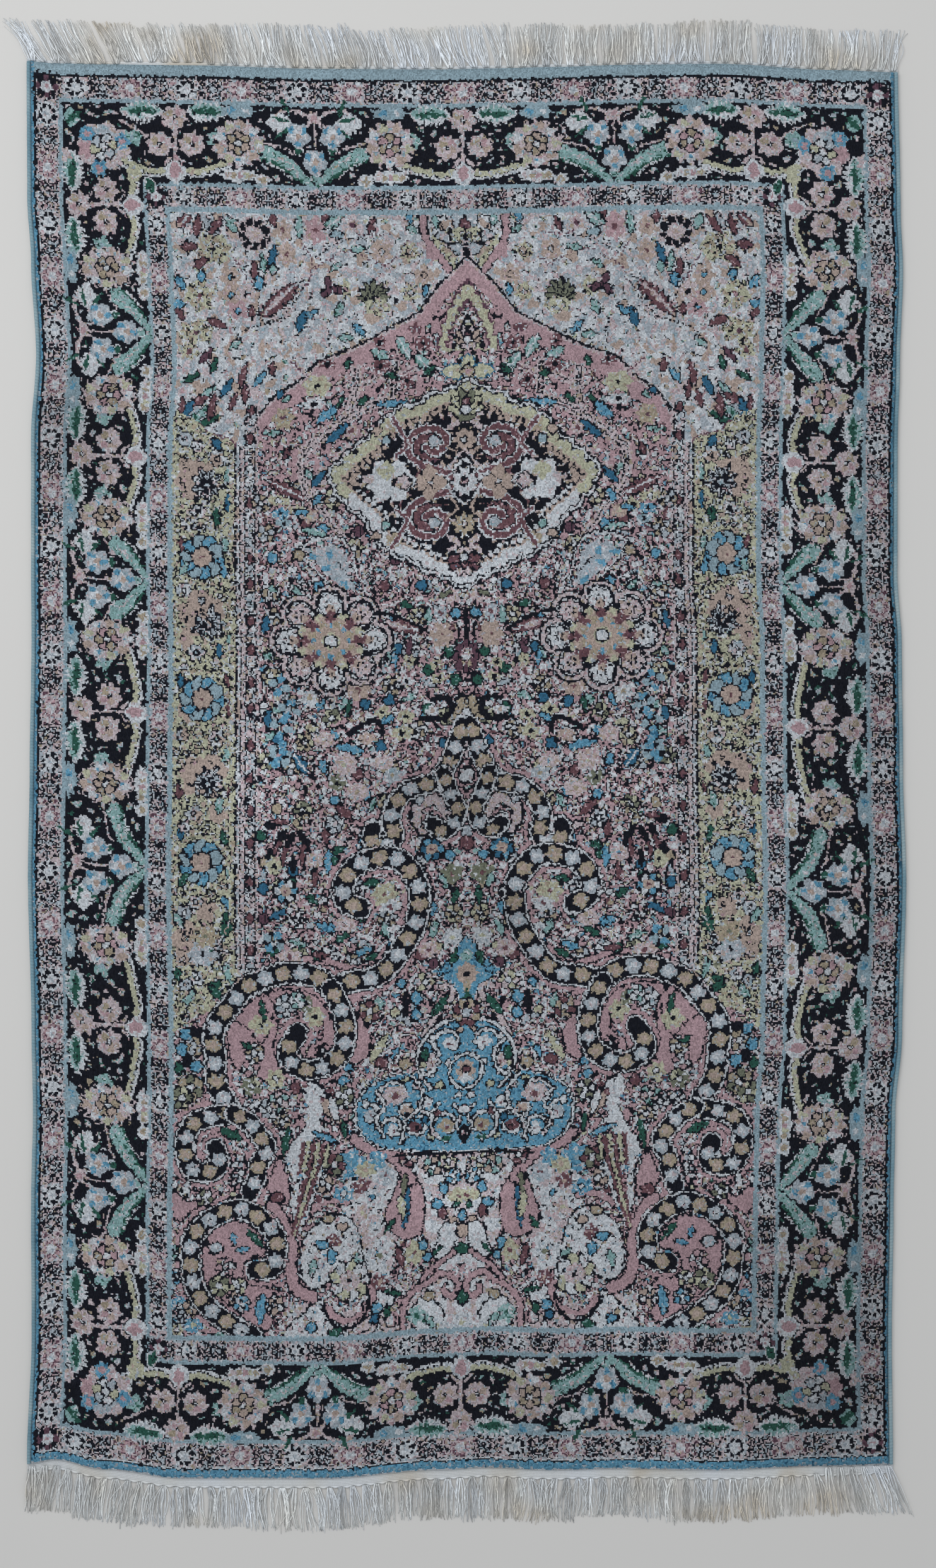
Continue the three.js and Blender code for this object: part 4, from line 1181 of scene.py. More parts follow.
CARTOUCHES = [  # outline of an ivory shield with a dark edge
    [(-129, 934), (-124, 920), (-114, 911), (-102, 905), (-90, 908), (-84, 918), (-80, 932),
     (-80, 946), (-88, 955), (-104, 957), (-118, 964), (-128, 956)],
    [(-121, 976), (-112, 972), (-104, 984), (-96, 996), (-100, 1002), (-140, 1002), (-136, 990),
     (-128, 984)],
    [(-71, 972), (-62, 962), (-54, 970), (-56, 982), (-66, 984), (-74, 980)],
    [(-20, 932), (-18, 922), (-12, 916), (-4, 918), (-4, 928), (-8, 938), (-18, 946), (-24, 942)],
    [(-40, 984), (-32, 976), (-20, 980), (-14, 992), (-22, 1001), (-36, 1001), (-42, 994)],
]
BIRD_BODY = [(-124, 800), (-113, 806), (-108, 818), (-116, 830), (-112, 838), (-122, 848),
             (-122, 858), (-128, 868), (-131, 884), (-128, 900), (-134, 912), (-137, 896),
             (-136, 878), (-142, 862), (-138, 850), (-128, 838), (-122, 824), (-128, 812)]
BOWL = [(0, 792), (-30, 800), (-45, 797), (-62, 800), (-77, 807), (-85, 819), (-85, 834),
        (-78, 846), (-64, 855), (-36, 859), (0, 860)]
NECK = [(0, 690), (-6, 696), (-10, 706), (-16, 713), (-27, 717), (-17, 724), (-9, 728), (-6, 738),
        (-10, 752), (-14, 760), (0, 764)]
BULB = [(0, 752), (-9, 755), (-22, 760), (-33, 770), (-39, 784), (-36, 799), (-27, 810), (-15, 818),
        (0, 822)]
VASE_CURLS = [  # x, r, size, turn, dye of the oval, its size across and along
    (-14, 774, 13, 2.4, IVORY, 6.0, 4.6), (-56, 814, 13, 3.0, BLUSH, 11.0, 8.0),
    (-46, 826, 8, 0.4, PEACH, 5.0, 4.0), (-57, 841, 10, 3.4, IVORY, 4.0, 4.4),
    (-39, 840, 9, 5.2, RUST, 5.4, 5.0), (-14, 840, 13, 2.6, CAMEL, 7.4, 5.4),
    (-75, 828, 9, 4.0, SILVER, 5.0, 5.0), (-30, 822, 8, 1.0, IVORY, 5.0, 4.4),
    (-28, 790, 10, 1.4, BLUSH, 4.0, 7.0),
]
VASE_SPOTS = [  # x, r, half width, half height, dye
    (-26, 770, 3.0, 2.4, IVORY), (-6, 764, 3.0, 2.0, PEACH), (-20, 808, 3.4, 3.0, GOLD),
    (-66, 818, 2.6, 3.0, IVORY), (-26, 849, 3.2, 2.6, GOLD), (-48, 848, 3.0, 3.0, SILVER),
    (-68, 838, 3.4, 3.0, PEACH), (-38, 808, 3.4, 3.0, BLUSH), (-79, 819, 2.4, 4.0, IVORY),
    (-5, 816, 3.0, 3.0, IVORY), (-21, 830, 2.4, 2.4, RUST), (-48, 802, 3.0, 2.0, GOLD),
    (-34, 791, 2.0, 3.0, GOLD), (-14, 790, 2.4, 2.4, IVORY), (-4, 836, 2.0, 2.6, BLUSH),
    (-31, 834, 2.2, 2.8, LAKE),
]
VASE_LINES = [
    [(-42, 800), (-34, 812), (-36, 826), (-46, 834), (-50, 852)],
    [(-20, 822), (-26, 832), (-24, 846), (-14, 852)], [(-8, 824), (-2, 830), (-6, 840), (0, 852)],
    [(-70, 810), (-64, 822), (-70, 832), (-64, 846)],
    [(-30, 772), (-22, 782), (-24, 794), (-32, 800)],
]
LOWER_LEAVES = [  # x and r of the stem end, length, width, direction in degrees, dye
    (-163, 735, 18, 5, 80, LEAF), (-178, 770, 10, 5, 30, LEAF), (-203, 726, 15, 7, 45, LEAF),
    (-229, 711, 11, 6, 80, LEAF), (-192, 710, 16, 5, 65, MINT), (-229, 740, 12, 5, 100, GOLD),
    (-223, 740, 12, 5, 110, GOLD), (-193, 688, 16, 9, -62, LEAF), (-230, 668, 14, 6, 60, MINT),
    (-27, 752, 20, 7, -52, LEAF), (-62, 765, 26, 7, 125, GOLD), (-71, 734, 12, 6, 70, MINT),
    (-60, 750, 13, 5, 20, SILVER), (-50, 750, 12, 5, 60, SILVER), (-54, 776, 10, 4, 120, SKY),
    (-140, 835, 24, 6, 100, LEAF), (-195, 838, 19, 8, 25, LEAF), (-219, 878, 15, 6, 100, IVORY),
    (-172, 917, 20, 5, 48, LEAF), (-184, 920, 10, 5, 75, SKY), (-180, 934, 10, 5, -10, SKY),
    (-62, 922, 13, 4, -50, LEAF), (-25, 944, 13, 3, -45, LEAF), (-64, 968, 16, 4, 15, LEAF),
    (-60, 990, 10, 6, -80, LEAF), (-30, 990, 14, 6, 50, MINT), (-108, 1002, 15, 7, -30, LEAF),
    (-118, 940, 14, 6, 100, MINT), (-88, 938, 10, 6, 30, MINT), (-200, 1002, 16, 5, -15, MINT),
    (-43, 888, 33, 6, 97, LAKE), (-50, 893, 20, 7, 80, GOLD), (-52, 934, 18, 6, 75, RUST),
    (-46, 876, 18, 5, 95, MOSS), (-97, 830, 14, 5, 80, LEAF), (-168, 796, 10, 5, 60, GOLD),
]
LOWER_BUDS = [  # x, r, half width, half height, dye
    (-62, 684, 5.0, 4.0, LEAF), (-118, 700, 4.0, 4.0, LEAF), (-36, 704, 5.0, 4.4, RUST),
    (-26, 711, 4.0, 4.4, PLUM), (-24, 698, 4.4, 3.0, GOLD), (-52, 726, 3.6, 3.4, SKY),
    (-40, 738, 4.0, 4.6, SKY), (-40, 751, 3.6, 4.6, SKY), (-48.5, 742, 2.0, 9.0, INK),
    (-57, 748, 3.0, 3.4, GOLD), (-222, 764, 4.4, 4.4, SKY), (-213, 762, 5.0, 3.4, INK),
    (-226, 776, 4.0, 5.0, SKY), (-221, 785, 3.4, 5.0, INK), (-214, 789, 4.6, 4.6, SKY),
    (-228, 791, 3.0, 4.4, LEAF), (-94, 789, 3.4, 3.0, SKY), (-97, 799, 3.6, 3.0, SKY),
    (-135, 805, 3.6, 5.0, RUST), (-67, 787, 5.0, 4.0, RUST), (-48, 790, 5.0, 4.0, CAMEL),
    (-148, 892, 5.4, 4.0, RUST), (-197, 932, 5.4, 4.0, SILVER), (-112, 929, 5.4, 3.0, SKY),
    (-104, 938, 3.0, 5.4, SKY), (-107, 908, 4.4, 3.4, CAMEL), (-96, 915, 3.6, 3.4, PEACH),
    (-120.5, 994, 4.0, 3.6, SKY), (-31, 934, 3.0, 4.4, SKY), (-28, 944, 2.6, 3.4, SKY),
    (-68, 982, 3.6, 4.0, SKY), (-70, 990, 3.0, 3.4, LAKE), (0, 938, 4.6, 4.4, LEAF),
    (0, 977, 4.2, 5.4, LEAF), (0, 924, 4.4, 5.0, PEACH), (-20, 902, 4.4, 3.4, SKY),
    (-15, 890, 2.8, 4.4, SKY), (-8, 915, 3.0, 2.0, PEACH), (-5, 903, 2.0, 2.4, LEAF),
    (-16, 909, 3.4, 4.4, RUST), (-26, 975, 4.0, 3.6, CAMEL), (0, 912, 2.6, 5.0, SKY),
]
LOWER_BLOOMS = [  # x, r, half width, half height, dye, eye
    (-163, 756, 10, 9, GOLD, INK), (-120, 749, 8, 9, GOLD, INK), (-127, 739, 6, 7, MOSS, INK),
    (-151, 798, 8, 8, GOLD, IVORY), (-170, 804, 9, 8, MOSS, IVORY), (-108, 811, 8, 6, RUST, INK),
    (-90, 866, 13, 12, SKY, HAZE), (-69, 864, 8, 8, SKY, HAZE), (-95, 889, 9, 7, SKY, IVORY),
    (-81, 884, 8, 6, RUST, PEACH), (-78, 871, 9, 7, GOLD, PEACH), (-62, 877, 8, 9, SILVER, RUST),
    (-115, 893, 7, 9, ROSE, RUST), (-102.5, 925, 6, 6, RUST, PEACH), (-38, 940, 8, 10, GOLD, RUST),
    (0, 957, 9, 7, ROSE, BLUSH), (-3, 896, 12, 6, GOLD, RUST), (-226, 978, 7, 9, SKY, IVORY),
    (-215, 993, 8, 6, SKY, GOLD), (-228, 997, 5, 5, GOLD, IVORY), (-66, 940, 10, 11, IVORY, MOSS),
    (-66, 961, 7, 7, RUST, PEACH), (-208, 701, 12, 10, SILVER, INK), (-207, 740, 10, 9, GOLD, GOLD),
    (-206, 687, 12, 9, CAMEL, MOSS), (-72, 893, 8, 8, IVORY, SKY), (-80, 905, 6, 7, BLUSH, GOLD),
    (-20, 1000, 9, 7, IVORY, GOLD), (0, 997, 11, 9, IVORY, GOLD), (-36, 990, 8, 8, MINT, LEAF),
]
LOWER_CLUSTERS = [  # x, r, size, dyes of the berries in turn
    (-216, 773, 9, (SILVER, CAMEL)), (-218, 806, 11, (MOSS, CAMEL)), (-226, 814, 9, (GOLD, MOSS)),
    (-143, 740, 9, (IVORY, SILVER)), (-134, 736, 7, (MINT, IVORY)), (-168, 778, 8, (IVORY, CAMEL)),
    (-171, 790, 7, (IVORY, ROSE)), (-114, 776, 6, (ROSE, INK)), (-189, 947, 8, (IVORY, ROSE)),
    (-194, 962, 9, (GOLD, MOSS)), (-179, 962, 7, (GOLD, IVORY)), (-181, 972, 6, (BLUSH, PEACH)),
    (-176, 976, 7, (SILVER, SKY)), (-206, 893, 7, (MOSS, IVORY)), (-77, 746, 9, (RUST, CAMEL)),
    (-182, 866, 9, (IVORY, ROSE)), (-178, 878, 8, (ROSE, IVORY)), (-103, 866, 9, (RUST, MOSS)),
    (-112, 880, 8, (IVORY, PEACH)), (-228, 936, 6, (LEAF, MINT)), (-228, 955, 6, (SKY, IVORY)),
    (-216, 978, 7, (CAMEL, PEACH)), (-150, 976, 8, (IVORY, PEACH)), (-33, 725, 8, (BLUSH, GOLD)),
    (-160, 975, 6, (BLUSH, IVORY)), (-226, 986, 6, (IVORY, SILVER)), (-170, 820, 7, (ROSE, IVORY)),
    (-156, 822, 8, (IVORY, SILVER)), (-148, 816, 8, (MINT, BLUSH)), (-145, 832, 7, (ROSE, CAMEL)),
    (-44, 864, 8, (BLUSH, RUST)), (-24, 872, 8, (PEACH, MINT)), (-8, 880, 7, (IVORY, SKY)),
    (-12, 868, 7, (GOLD, BLUSH)), (-96, 812, 8, (MOSS, IVORY)), (-180, 892, 6, (ROSE, GOLD)),
]


def ribbon(on, points, width, dye):
    """A plain band with a dark edge."""
    path = curve(points)
    on.line(path, width + 2.6, INK, dash=(5, 1))
    on.line(path, width, dye)


def rolled(on, x, r, size, turn):
    """A pale and dark double line that rolls up into a curl."""
    bearing = np.linspace(0, 5.2, 22)
    reach = size * (1 - 0.62 * bearing / 5.2)
    path = np.stack([x + reach * np.cos(turn + bearing), r + reach * np.sin(turn + bearing)], 1)
    on.line(path, 4.6, INK)
    on.line(path, 2.2, IVORY)


def edged(on, points, middle, dye):
    """A filled outline with a pale line between two dark ones round it."""
    reach = np.abs(np.asarray(points, float) - middle).max()
    for grow, edge in ((4.4, INK), (3.0, IVORY), (1.2, INK), (0, dye)):
        on.area(shrunk(points, middle, 1 + grow / reach), edge)


def vase(on):
    """The sky-blue vase under the cross of its neck, with curls and ovals in its bowl."""
    edged(on, BOWL, (0, 826), SKY)
    edged(on, NECK, (0, 724), SKY)
    on.area(BULB, SKY)
    edge = curve(BULB[:7])
    on.line(edge, 4.6, INK)
    on.line(edge, 2.2, IVORY)
    for x, r, size, turn, dye, wide, tall in VASE_CURLS:
        rolled(on, x, r, size, turn)
        on.star(x, r, wide, tall, dye, 6, 0.15)
        on.star(x + 1, r + 1, wide * 0.35, tall * 0.35, RUST if dye != RUST else INK, 3, 0.3)
    for x, r, wide, tall, dye in VASE_SPOTS:
        on.star(x, r, wide, tall, dye, 5, 0.25, rim=INK)
    for points in VASE_LINES:
        path = curve(points)
        on.line(path, 4.4, INK)
        on.line(path, 2, IVORY)
    for grow, dye in ((15, INK), (13.8, IVORY), (12.0, INK), (10.8, SKY)):
        on.star(0, 797, grow, grow * 1.06, dye)
    on.star(0, 797, 8, 9, PEACH, 8, 0.12)
    on.star(0, 803, 5, 4, IVORY)
    on.star(0, 796, 2.4, 2.4, RUST, rim=INK)
    on.star(0, 705, 5, 5, MINT)
    on.star(0, 720, 8.6, 9.6, PEACH, 8, 0.15)
    on.star(0, 720, 2, 2.4, INK)
    on.star(0, 730, 3.4, 5, CAMEL)
    on.area([(-5, 741), (0, 731), (0, 742)], LEAF)
    daisy(on, 0, 750.5, 11, (RUST, CAMEL), count=8, heart=ROSE, eye=IVORY, turn=0.4)
    on.star(0, 750.5, 3, 4, SILVER, rim=INK)
    on.star(-33, 783, 3.2, 5, LEAF, rim=INK)
    on.star(-14, 850, 4, 2.2, LEAF)
    on.star(0, 828, 5, 4, ROSE, 4, 0.2, rim=INK)
    on.star(0, 847, 5, 8, INK, 4, 0.2)
    on.star(0, 847, 2, 3, ROSE)
    on.line([(-56, 861.8), (0, 861.8)], 2.4, INK)


def bird(on):
    """The white bird with its striped wing and long tail."""
    on.area(shrunk(BIRD_BODY, (-124, 856), 1.05), INK)
    on.area(BIRD_BODY, IVORY)
    for number, x in enumerate(range(-128, -104, 4)):
        top, foot = 848 + (x + 128) * 0.1, 872 - (x + 128) * 0.3
        on.line([(x, top), (x - 3, foot)], 3, (RUST, GOLD)[number % 2])
        on.line([(x + 2, top), (x - 1, foot)], 1, INK, dash=(3, 1))
    for number, (dx, dye) in enumerate(((0, RUST), (3.4, GOLD), (6.6, RUST), (9.6, IVORY))):
        tail = curve([(-122 + dx, 868), (-127 + dx, 884), (-131 + dx * 0.9, 900),
                      (-135 + dx * 0.5, 922 - number)])
        on.line(tail, 2.6, dye)
        on.line(tail + [1.6, 0], 1, INK, dash=(3, 1))
    on.leaf(-114, 812, 24, 8, 1.0, PEACH, rim=INK)
    on.leaf(-107, 812, 20, 6, 1.3, IVORY, rim=INK)
    on.star(-113, 814, 2, 2.4, RUST)
    on.leaf(-121, 840, 22, 4, 0.38, SKY, rim=INK)
    on.star(-119, 806, 1.4, 1.4, INK)


def foot_field(on, rng):
    """Everything from the lower scrolls down to the foot of the field."""
    outlines = [curve(points, closed=True) for points in PLAIN_PINKS]
    for points in (PALE_GROUND, FOOT_GROUND):
        on.area(points, IVORY)
    hills = texture(rng, on.knots.shape, 16)
    on.knots[(on.knots == IVORY) & (ROWS > FOOT_HEAD) & (hills > 0.15)] = BLUSH
    plain = np.zeros(on.knots.shape, bool)
    for outline in outlines:
        on.area(outline, ROSE)
        plain |= on.inside(outline)
    vines(on, [(points, INK) for points in CARTOUCHES], dash=None)
    for points in CARTOUCHES:
        outline = curve(points, closed=True)
        on.area(outline, IVORY)
        on.line(outline, 1.6, INK, dash=(9, 1.5))
    for outline in outlines:
        on.line(np.vstack([outline, outline[:1]]), 1.4, INK, dash=(7, 1))
    marks = Chart(KNOTS_ALONG, FIELD_HALF, -FIELD_HALF, IVORY)
    for points, width, dye in RIBBONS:
        ribbon(on, points, width, dye)
        ribbon(marks, points, width, dye)
    plain |= marks.knots != IVORY
    blooms(on, LOWER_BLOOMS)
    clusters(on, LOWER_CLUSTERS)
    leaves(on, LOWER_LEAVES)
    buds(on, LOWER_BUDS)
    daisy(on, -90, 958, 16, (IVORY, GOLD), count=9, heart=BLUSH, eye=INK)
    on.line(curve([(-112, 976), (-102, 992), (-86, 994), (-75, 980), (-76, 964)]), 2.6, INK)
    on.line(curve([(-108, 974), (-100, 986), (-86, 988), (-79, 976)]), 3.6, ROSE)
    on.leaf(-158, 968, 24, 7, 1.7, SKY, rim=INK, bend=0.3)
    return plain


WEAVE_MIXES = (  # a dye, those mottled into it, size of the patches, how few
    (BLUSH, (PEACH, IVORY, ROSE, SILVER, CAMEL, BLUSH), 5.0, 0.4),
    (MINT, (SILVER, IVORY, LEAF, MINT), 4.0, 0.6),
    (SILVER, (IVORY, BLUSH, HAZE), 5.0, 0.8),
    (GOLD, (CAMEL, SILVER, IVORY, PEACH), 6.0, 1.2),
    (IVORY, (SILVER, BLUSH), 5.0, 1.1),
    (LEAF, (MINT, INK, LEAF), 3.0, 1.0),
    (RUST, (ROSE, PLUM), 3.4, 1.0),
    (SKY, (HAZE, LAKE, SILVER), 4.0, 0.9),
    (CAMEL, (PEACH, SILVER), 3.4, 1.0),
)


def field(chart):
    """The arch field: its left half with everything on it, then the same mirrored."""
    rng = np.random.default_rng(11)
    half = Chart(KNOTS_ALONG, FIELD_HALF, -FIELD_HALF, IVORY)
    spandrel(half)
    pale = half.knots == IVORY
    column(half, rng)
    held = arch(half)
    half.area(LOWER_EDGE, ROSE)
    held |= half.inside(LOWER_EDGE)
    medallion(half, rng)
    middle_field(half)
    plain = foot_field(half, rng)
    bird(half)
    vase(half)
    sweep(half)
    plain |= beside_scrolls(half, 5)
    plain |= under_arch(half)
    many = (SILVER, GOLD, BLUSH, IVORY, CAMEL, RUST, IVORY, MINT, PLUM, SKY, SILVER)
    crown = held & (ROWS < CROWN_FOOT)
    foot = held & (ROWS > FOOT_HEAD) & ~half.inside(FOOT_CENTRE)
    corner = pale & ~held
    corner_dyes = BLUSH, ROSE, SILVER, GOLD, MINT, CAMEL
    tangle(half, crown & ~plain, rng, ROSE, (BLUSH, *many), 9.0, 0.3, 0.62, -1.3)
    tangle(half, held & ~plain & ~crown, rng, ROSE, many, 9.0, 0.27, 0.4, -0.8)
    mottle(half, corner, rng, IVORY, (SILVER, BLUSH, SILVER, PEACH), 14.0, -0.1)
    tangle(half, corner, rng, IVORY, corner_dyes, 8.0, 0.12, 1.0, NONE_PALE)
    tangle(half, ~held, rng, GOLD, (CAMEL, PEACH, SILVER, MOSS, PEACH), 7.0, 0.22, 0.75, -1.3)
    tangle(half, foot, rng, IVORY, (SILVER, BLUSH, ROSE, CAMEL, SKY), 7.0, 0.16, 1.1, NONE_PALE)
    rows = slice(FIELD_HEAD, FIELD_FOOT)
    chart.knots[rows, MIDDLE - FIELD_HALF:MIDDLE] = half.knots[rows]
    chart.knots[rows, MIDDLE:MIDDLE + FIELD_HALF] = half.knots[rows, ::-1]


def weave(chart):
    """The whole design as it comes off the loom, a little uneven everywhere."""
    borders(chart)
    field(chart)
    rng = np.random.default_rng(3)
    everywhere = np.ones(chart.knots.shape, bool)
    for dye, dyes, size, share in WEAVE_MIXES:
        mottle(chart, everywhere, rng, dye, dyes, size, share)
    ragged(chart, rng)


# Shapes

FACE_KNOTS = 4  # knots along each side of a face of the pile


def follow(table, column, at):
    """Value of one column of a table at many places, eased smoothly from row to row."""
    keys = table[:, 0]
    at = np.clip(at, keys[0], keys[-1])
    after = np.clip(np.searchsorted(keys, at, side="right"), 1, len(keys) - 1)
    share = (at - keys[after - 1]) / (keys[after] - keys[after - 1])
    eased = share * share * (3 - 2 * share)
    return table[after - 1, column] * (1 - eased) + table[after, column] * eased


def strayed(across, up):
    """Points of the straight rug, moved as its sides and ends stray."""
    side = np.clip(across / RUG_WIDTH + 0.5, 0, 1)
    end = np.clip(up / RUG_LENGTH, 0, 1)
    sideways = follow(SIDE_LINE, 1, up) * (1 - side) + follow(SIDE_LINE, 2, up) * side
    endways = follow(END_LINE, 1, across) * (1 - end) + follow(END_LINE, 2, across) * end
    return across + sideways, up + endways


def body_shift():
    """How far the straight rug is moved so that its body fills its CAD box."""
    share = np.linspace(0, 1, 1518)
    across, up = (2 * share - 1) * BODY_HALF, share * RUG_LENGTH
    left = strayed(np.full_like(up, -BODY_HALF), up)[0].min()
    foot = strayed(across, np.zeros_like(across))[1].min()
    low, _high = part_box("rug_body")
    return low.x - left, low.y - foot


SHIFT = body_shift()


def in_plan(across, up):
    """Places on the floor of points of the straight rug."""
    x, y = strayed(across, up)
    return x + SHIFT[0], y + SHIFT[1]


def pile_height(across, up):
    """Height of the gently uneven pile, lower along its rim."""
    swell = sum(height * np.sin(2 * np.pi * across / wide + turn) * np.cos(2 * np.pi * up / long)
                for height, wide, long, turn in PILE_WAVES)
    to_rim = np.minimum(BODY_HALF - np.abs(across), np.minimum(up, RUG_LENGTH - up))
    return RUG_THICKNESS - RIM_DROP * np.clip(1 - to_rim / RIM_WIDTH, 0, 1) ** 2 + swell


def grid_faces(rows, columns, closed=False):
    """Corners of the quads of a grid of points, row after row, closed round its rows if wished."""
    wide = columns if closed else columns - 1
    across, along = np.meshgrid(np.arange(wide), np.arange(rows - 1))
    a = (along * columns + across).ravel()
    b = (along * columns + (across + 1) % columns).ravel()
    return np.stack([a, b, b + columns, a + columns], axis=1)


def new_piece(name, points, faces, node, material):
    """A mesh piece that rides the rug's body in place of a CAD node."""
    mesh = bpy.data.meshes.new(name)
    mesh.from_pydata(points.tolist(), [], faces)
    mesh.validate()
    piece = bpy.data.objects.new(name, mesh)
    bpy.context.scene.collection.objects.link(piece)
    mesh.shade_smooth()
    mesh.materials.append(material)
    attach(piece, "root")
    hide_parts(node)
    return piece


def add_map(piece, name, corners):
    """A map of the piece from one pair of numbers for each corner of each face."""
    layer = piece.data.uv_layers.new(name=name)
    layer.uv.foreach_set("vector", np.asarray(corners, np.float32).ravel())


def add_values(piece, name, kind, domain, values):
    """A named attribute with a value for each face or point."""
    layer = piece.data.attributes.new(name, kind, domain)
    layer.data.foreach_set("vector" if kind == "FLOAT_VECTOR" else "value",
                           np.asarray(values, np.float32).ravel())


# Materials

class Wire:
    """An output of a material node that can be used in plain arithmetic."""

    def __init__(self, paint, socket):
        self.paint = paint
        self.socket = socket

    def math(self, operation, *values):
        wires = [v for v in values if isinstance(v, Wire)]
        kind = "ShaderNodeMath"
        if any(w.socket.type == "VECTOR" for w in wires):
            kind = "ShaderNodeVectorMath"
            values = [self.paint.as_vector(v) for v in values]
        return self.paint.node(kind, {"operation": operation}, dict(enumerate(values)))

    def __add__(self, other):
        return self.math("ADD", self, other)

    def __radd__(self, other):
        return self.math("ADD", other, self)

    def __sub__(self, other):
        return self.math("SUBTRACT", self, other)

    def __rsub__(self, other):
        return self.math("SUBTRACT", other, self)

    def __mul__(self, other):
        return self.math("MULTIPLY", self, other)

    def __rmul__(self, other):
        return self.math("MULTIPLY", other, self)

    def __truediv__(self, other):
        return self.math("DIVIDE", self, other)

    def __rtruediv__(self, other):
        return self.math("DIVIDE", other, self)

    def __pow__(self, other):
        return self.math("POWER", self, other)

    def __rpow__(self, other):
        return self.math("POWER", other, self)

    def __gt__(self, other):
        return self.math("GREATER_THAN", self, other)

    def floor(self):
        return self.math("FLOOR", self)

    def part(self, axis):
        """One of the three numbers of a vector."""
        return self.paint.node("ShaderNodeSeparateXYZ", {}, {0: self}, axis)

    def clamp(self, low=0.0, high=1.0):
        return self.math("MINIMUM", self.math("MAXIMUM", self, low), high)


class Paint:
    """A material under construction. It ends in one surface shader."""

    def __init__(self, name):
        self.material = bpy.data.materials.new(name)
        self.material.use_nodes = True
        self.tree = self.material.node_tree
        self.shader = self.tree.nodes["Principled BSDF"]

    def node(self, kind, settings=None, inputs=None, output=0):
        """A node of a kind with its settings and inputs; gives one of its outputs."""
        node = self.tree.nodes.new(kind)
        for key, value in (settings or {}).items():
            setattr(node, key, value)
        for key, value in (inputs or {}).items():
            self.feed(node.inputs[key], value)
        return Wire(self, node.outputs[output])

    def feed(self, socket, value):
        if isinstance(value, Wire):
            self.tree.links.new(value.socket, socket)
        else:
            socket.default_value = value

    def as_vector(self, value):
        return (value,) * 3 if isinstance(value, (int, float)) else value

    def place(self):
        """The point's place in the object's own space."""
        return self.node("ShaderNodeTexCoord", output="Object")

    def value(self, name, output="Fac"):
        """A named attribute of the mesh."""
        return self.node("ShaderNodeAttribute", {"attribute_name": name}, output=output)

    def noise(self, scale, stretch=(1, 1, 1), detail=2.0, roughness=0.5):
        """Smooth noise from 0 to 1 in the object's own space, of some features for each metre."""
        inputs = {"Vector": self.place() * self.vector(stretch), "Scale": scale,
                  "Detail": detail, "Roughness": roughness}
        return self.node("ShaderNodeTexNoise", {"noise_dimensions": "3D"}, inputs)

    def vector(self, values):
        return self.node("ShaderNodeCombineXYZ", {}, dict(enumerate(float(v) for v in values)))

    def blend(self, share, first, second, way="MIX"):
        """Two colours mixed by a share."""
        return self.node("ShaderNodeMix", {"data_type": "RGBA", "blend_type": way},
                         {0: share, 6: self.colour(first), 7: self.colour(second)}, 2)

    def colour(self, value):
        return value if isinstance(value, Wire) or len(value) == 4 else (*value, 1.0)

    def ramp(self, share, colours, stops=None, constant=False):
        """A colour read from a row of colours by a share from 0 to 1."""
        wire = self.node("ShaderNodeValToRGB", {}, {0: share})
        ramp = wire.socket.node.color_ramp
        ramp.interpolation = "CONSTANT" if constant else "LINEAR"
        places = stops or [i / (len(colours) - (0 if constant else 1)) for i in range(len(colours))]
        for number, (stop, colour) in enumerate(zip(places, colours)):
            element = ramp.elements[number] if number < 2 else ramp.elements.new(stop)
            element.position = stop
            element.color = self.colour(colour)
        return wire

    def finish(self, colour, roughness, height=None, relief=0.0, **sockets):
        """Joins the colour, the roughness and the fine relief to the shader."""
        self.feed(self.shader.inputs["Base Color"], colour)
        self.feed(self.shader.inputs["Roughness"], roughness)
        if height is not None:
            bump = self.node("ShaderNodeBump", {}, {"Distance": relief, "Height": height})
            self.feed(self.shader.inputs["Normal"], bump)
        for name, value in sockets.items():
            self.feed(self.shader.inputs[name.replace("_", " ")], value)
        return self.material


def linear(red, green, blue):
    """A colour given as it shows on screen, 0 to 255, in the renderer's linear numbers."""
    shown = np.array([red, green, blue]) / 255
    light = np.where(shown <= 0.04045, shown / 12.92, ((shown + 0.055) / 1.055) ** 2.4)
    return tuple(float(v) for v in light)


DYES = {  # as each shows on screen, red, green and blue
    INK: (11, 14, 24), IVORY: (176, 181, 186), SILVER: (146, 155, 163), BLUSH: (168, 157, 161),
    ROSE: (154, 129, 135), PEACH: (154, 139, 131), CAMEL: (142, 132, 115), GOLD: (158, 159, 139),
    RUST: (92, 64, 70), SKY: (84, 133, 158), HAZE: (126, 147, 157), LAKE: (44, 90, 117),
    MINT: (118, 150, 150), LEAF: (34, 74, 64), MOSS: (100, 104, 90), PLUM: (82, 58, 70),
}
SHEEN_PATCHES = (  # painted sheen, lighter or darker where the pile leans to or from the light: x, y, half its size, change
    (0.45, 0.00, 0.11, 0.95, -0.20), (0.40, -0.62, 0.18, 0.30, -0.38),
    (0.00, -0.68, 0.55, 0.11, -0.16), (0.00, -0.03, 0.13, 0.08, -0.32),
    (0.04, -0.16, 0.11, 0.07, -0.24), (-0.21, -0.01, 0.07, 0.13, 0.28),
    (-0.42, 0.37, 0.09, 0.12, -0.24), (0.00, -0.45, 0.08, 0.09, 0.26),
    (0.00, 0.24, 0.12, 0.06, 0.16),
)


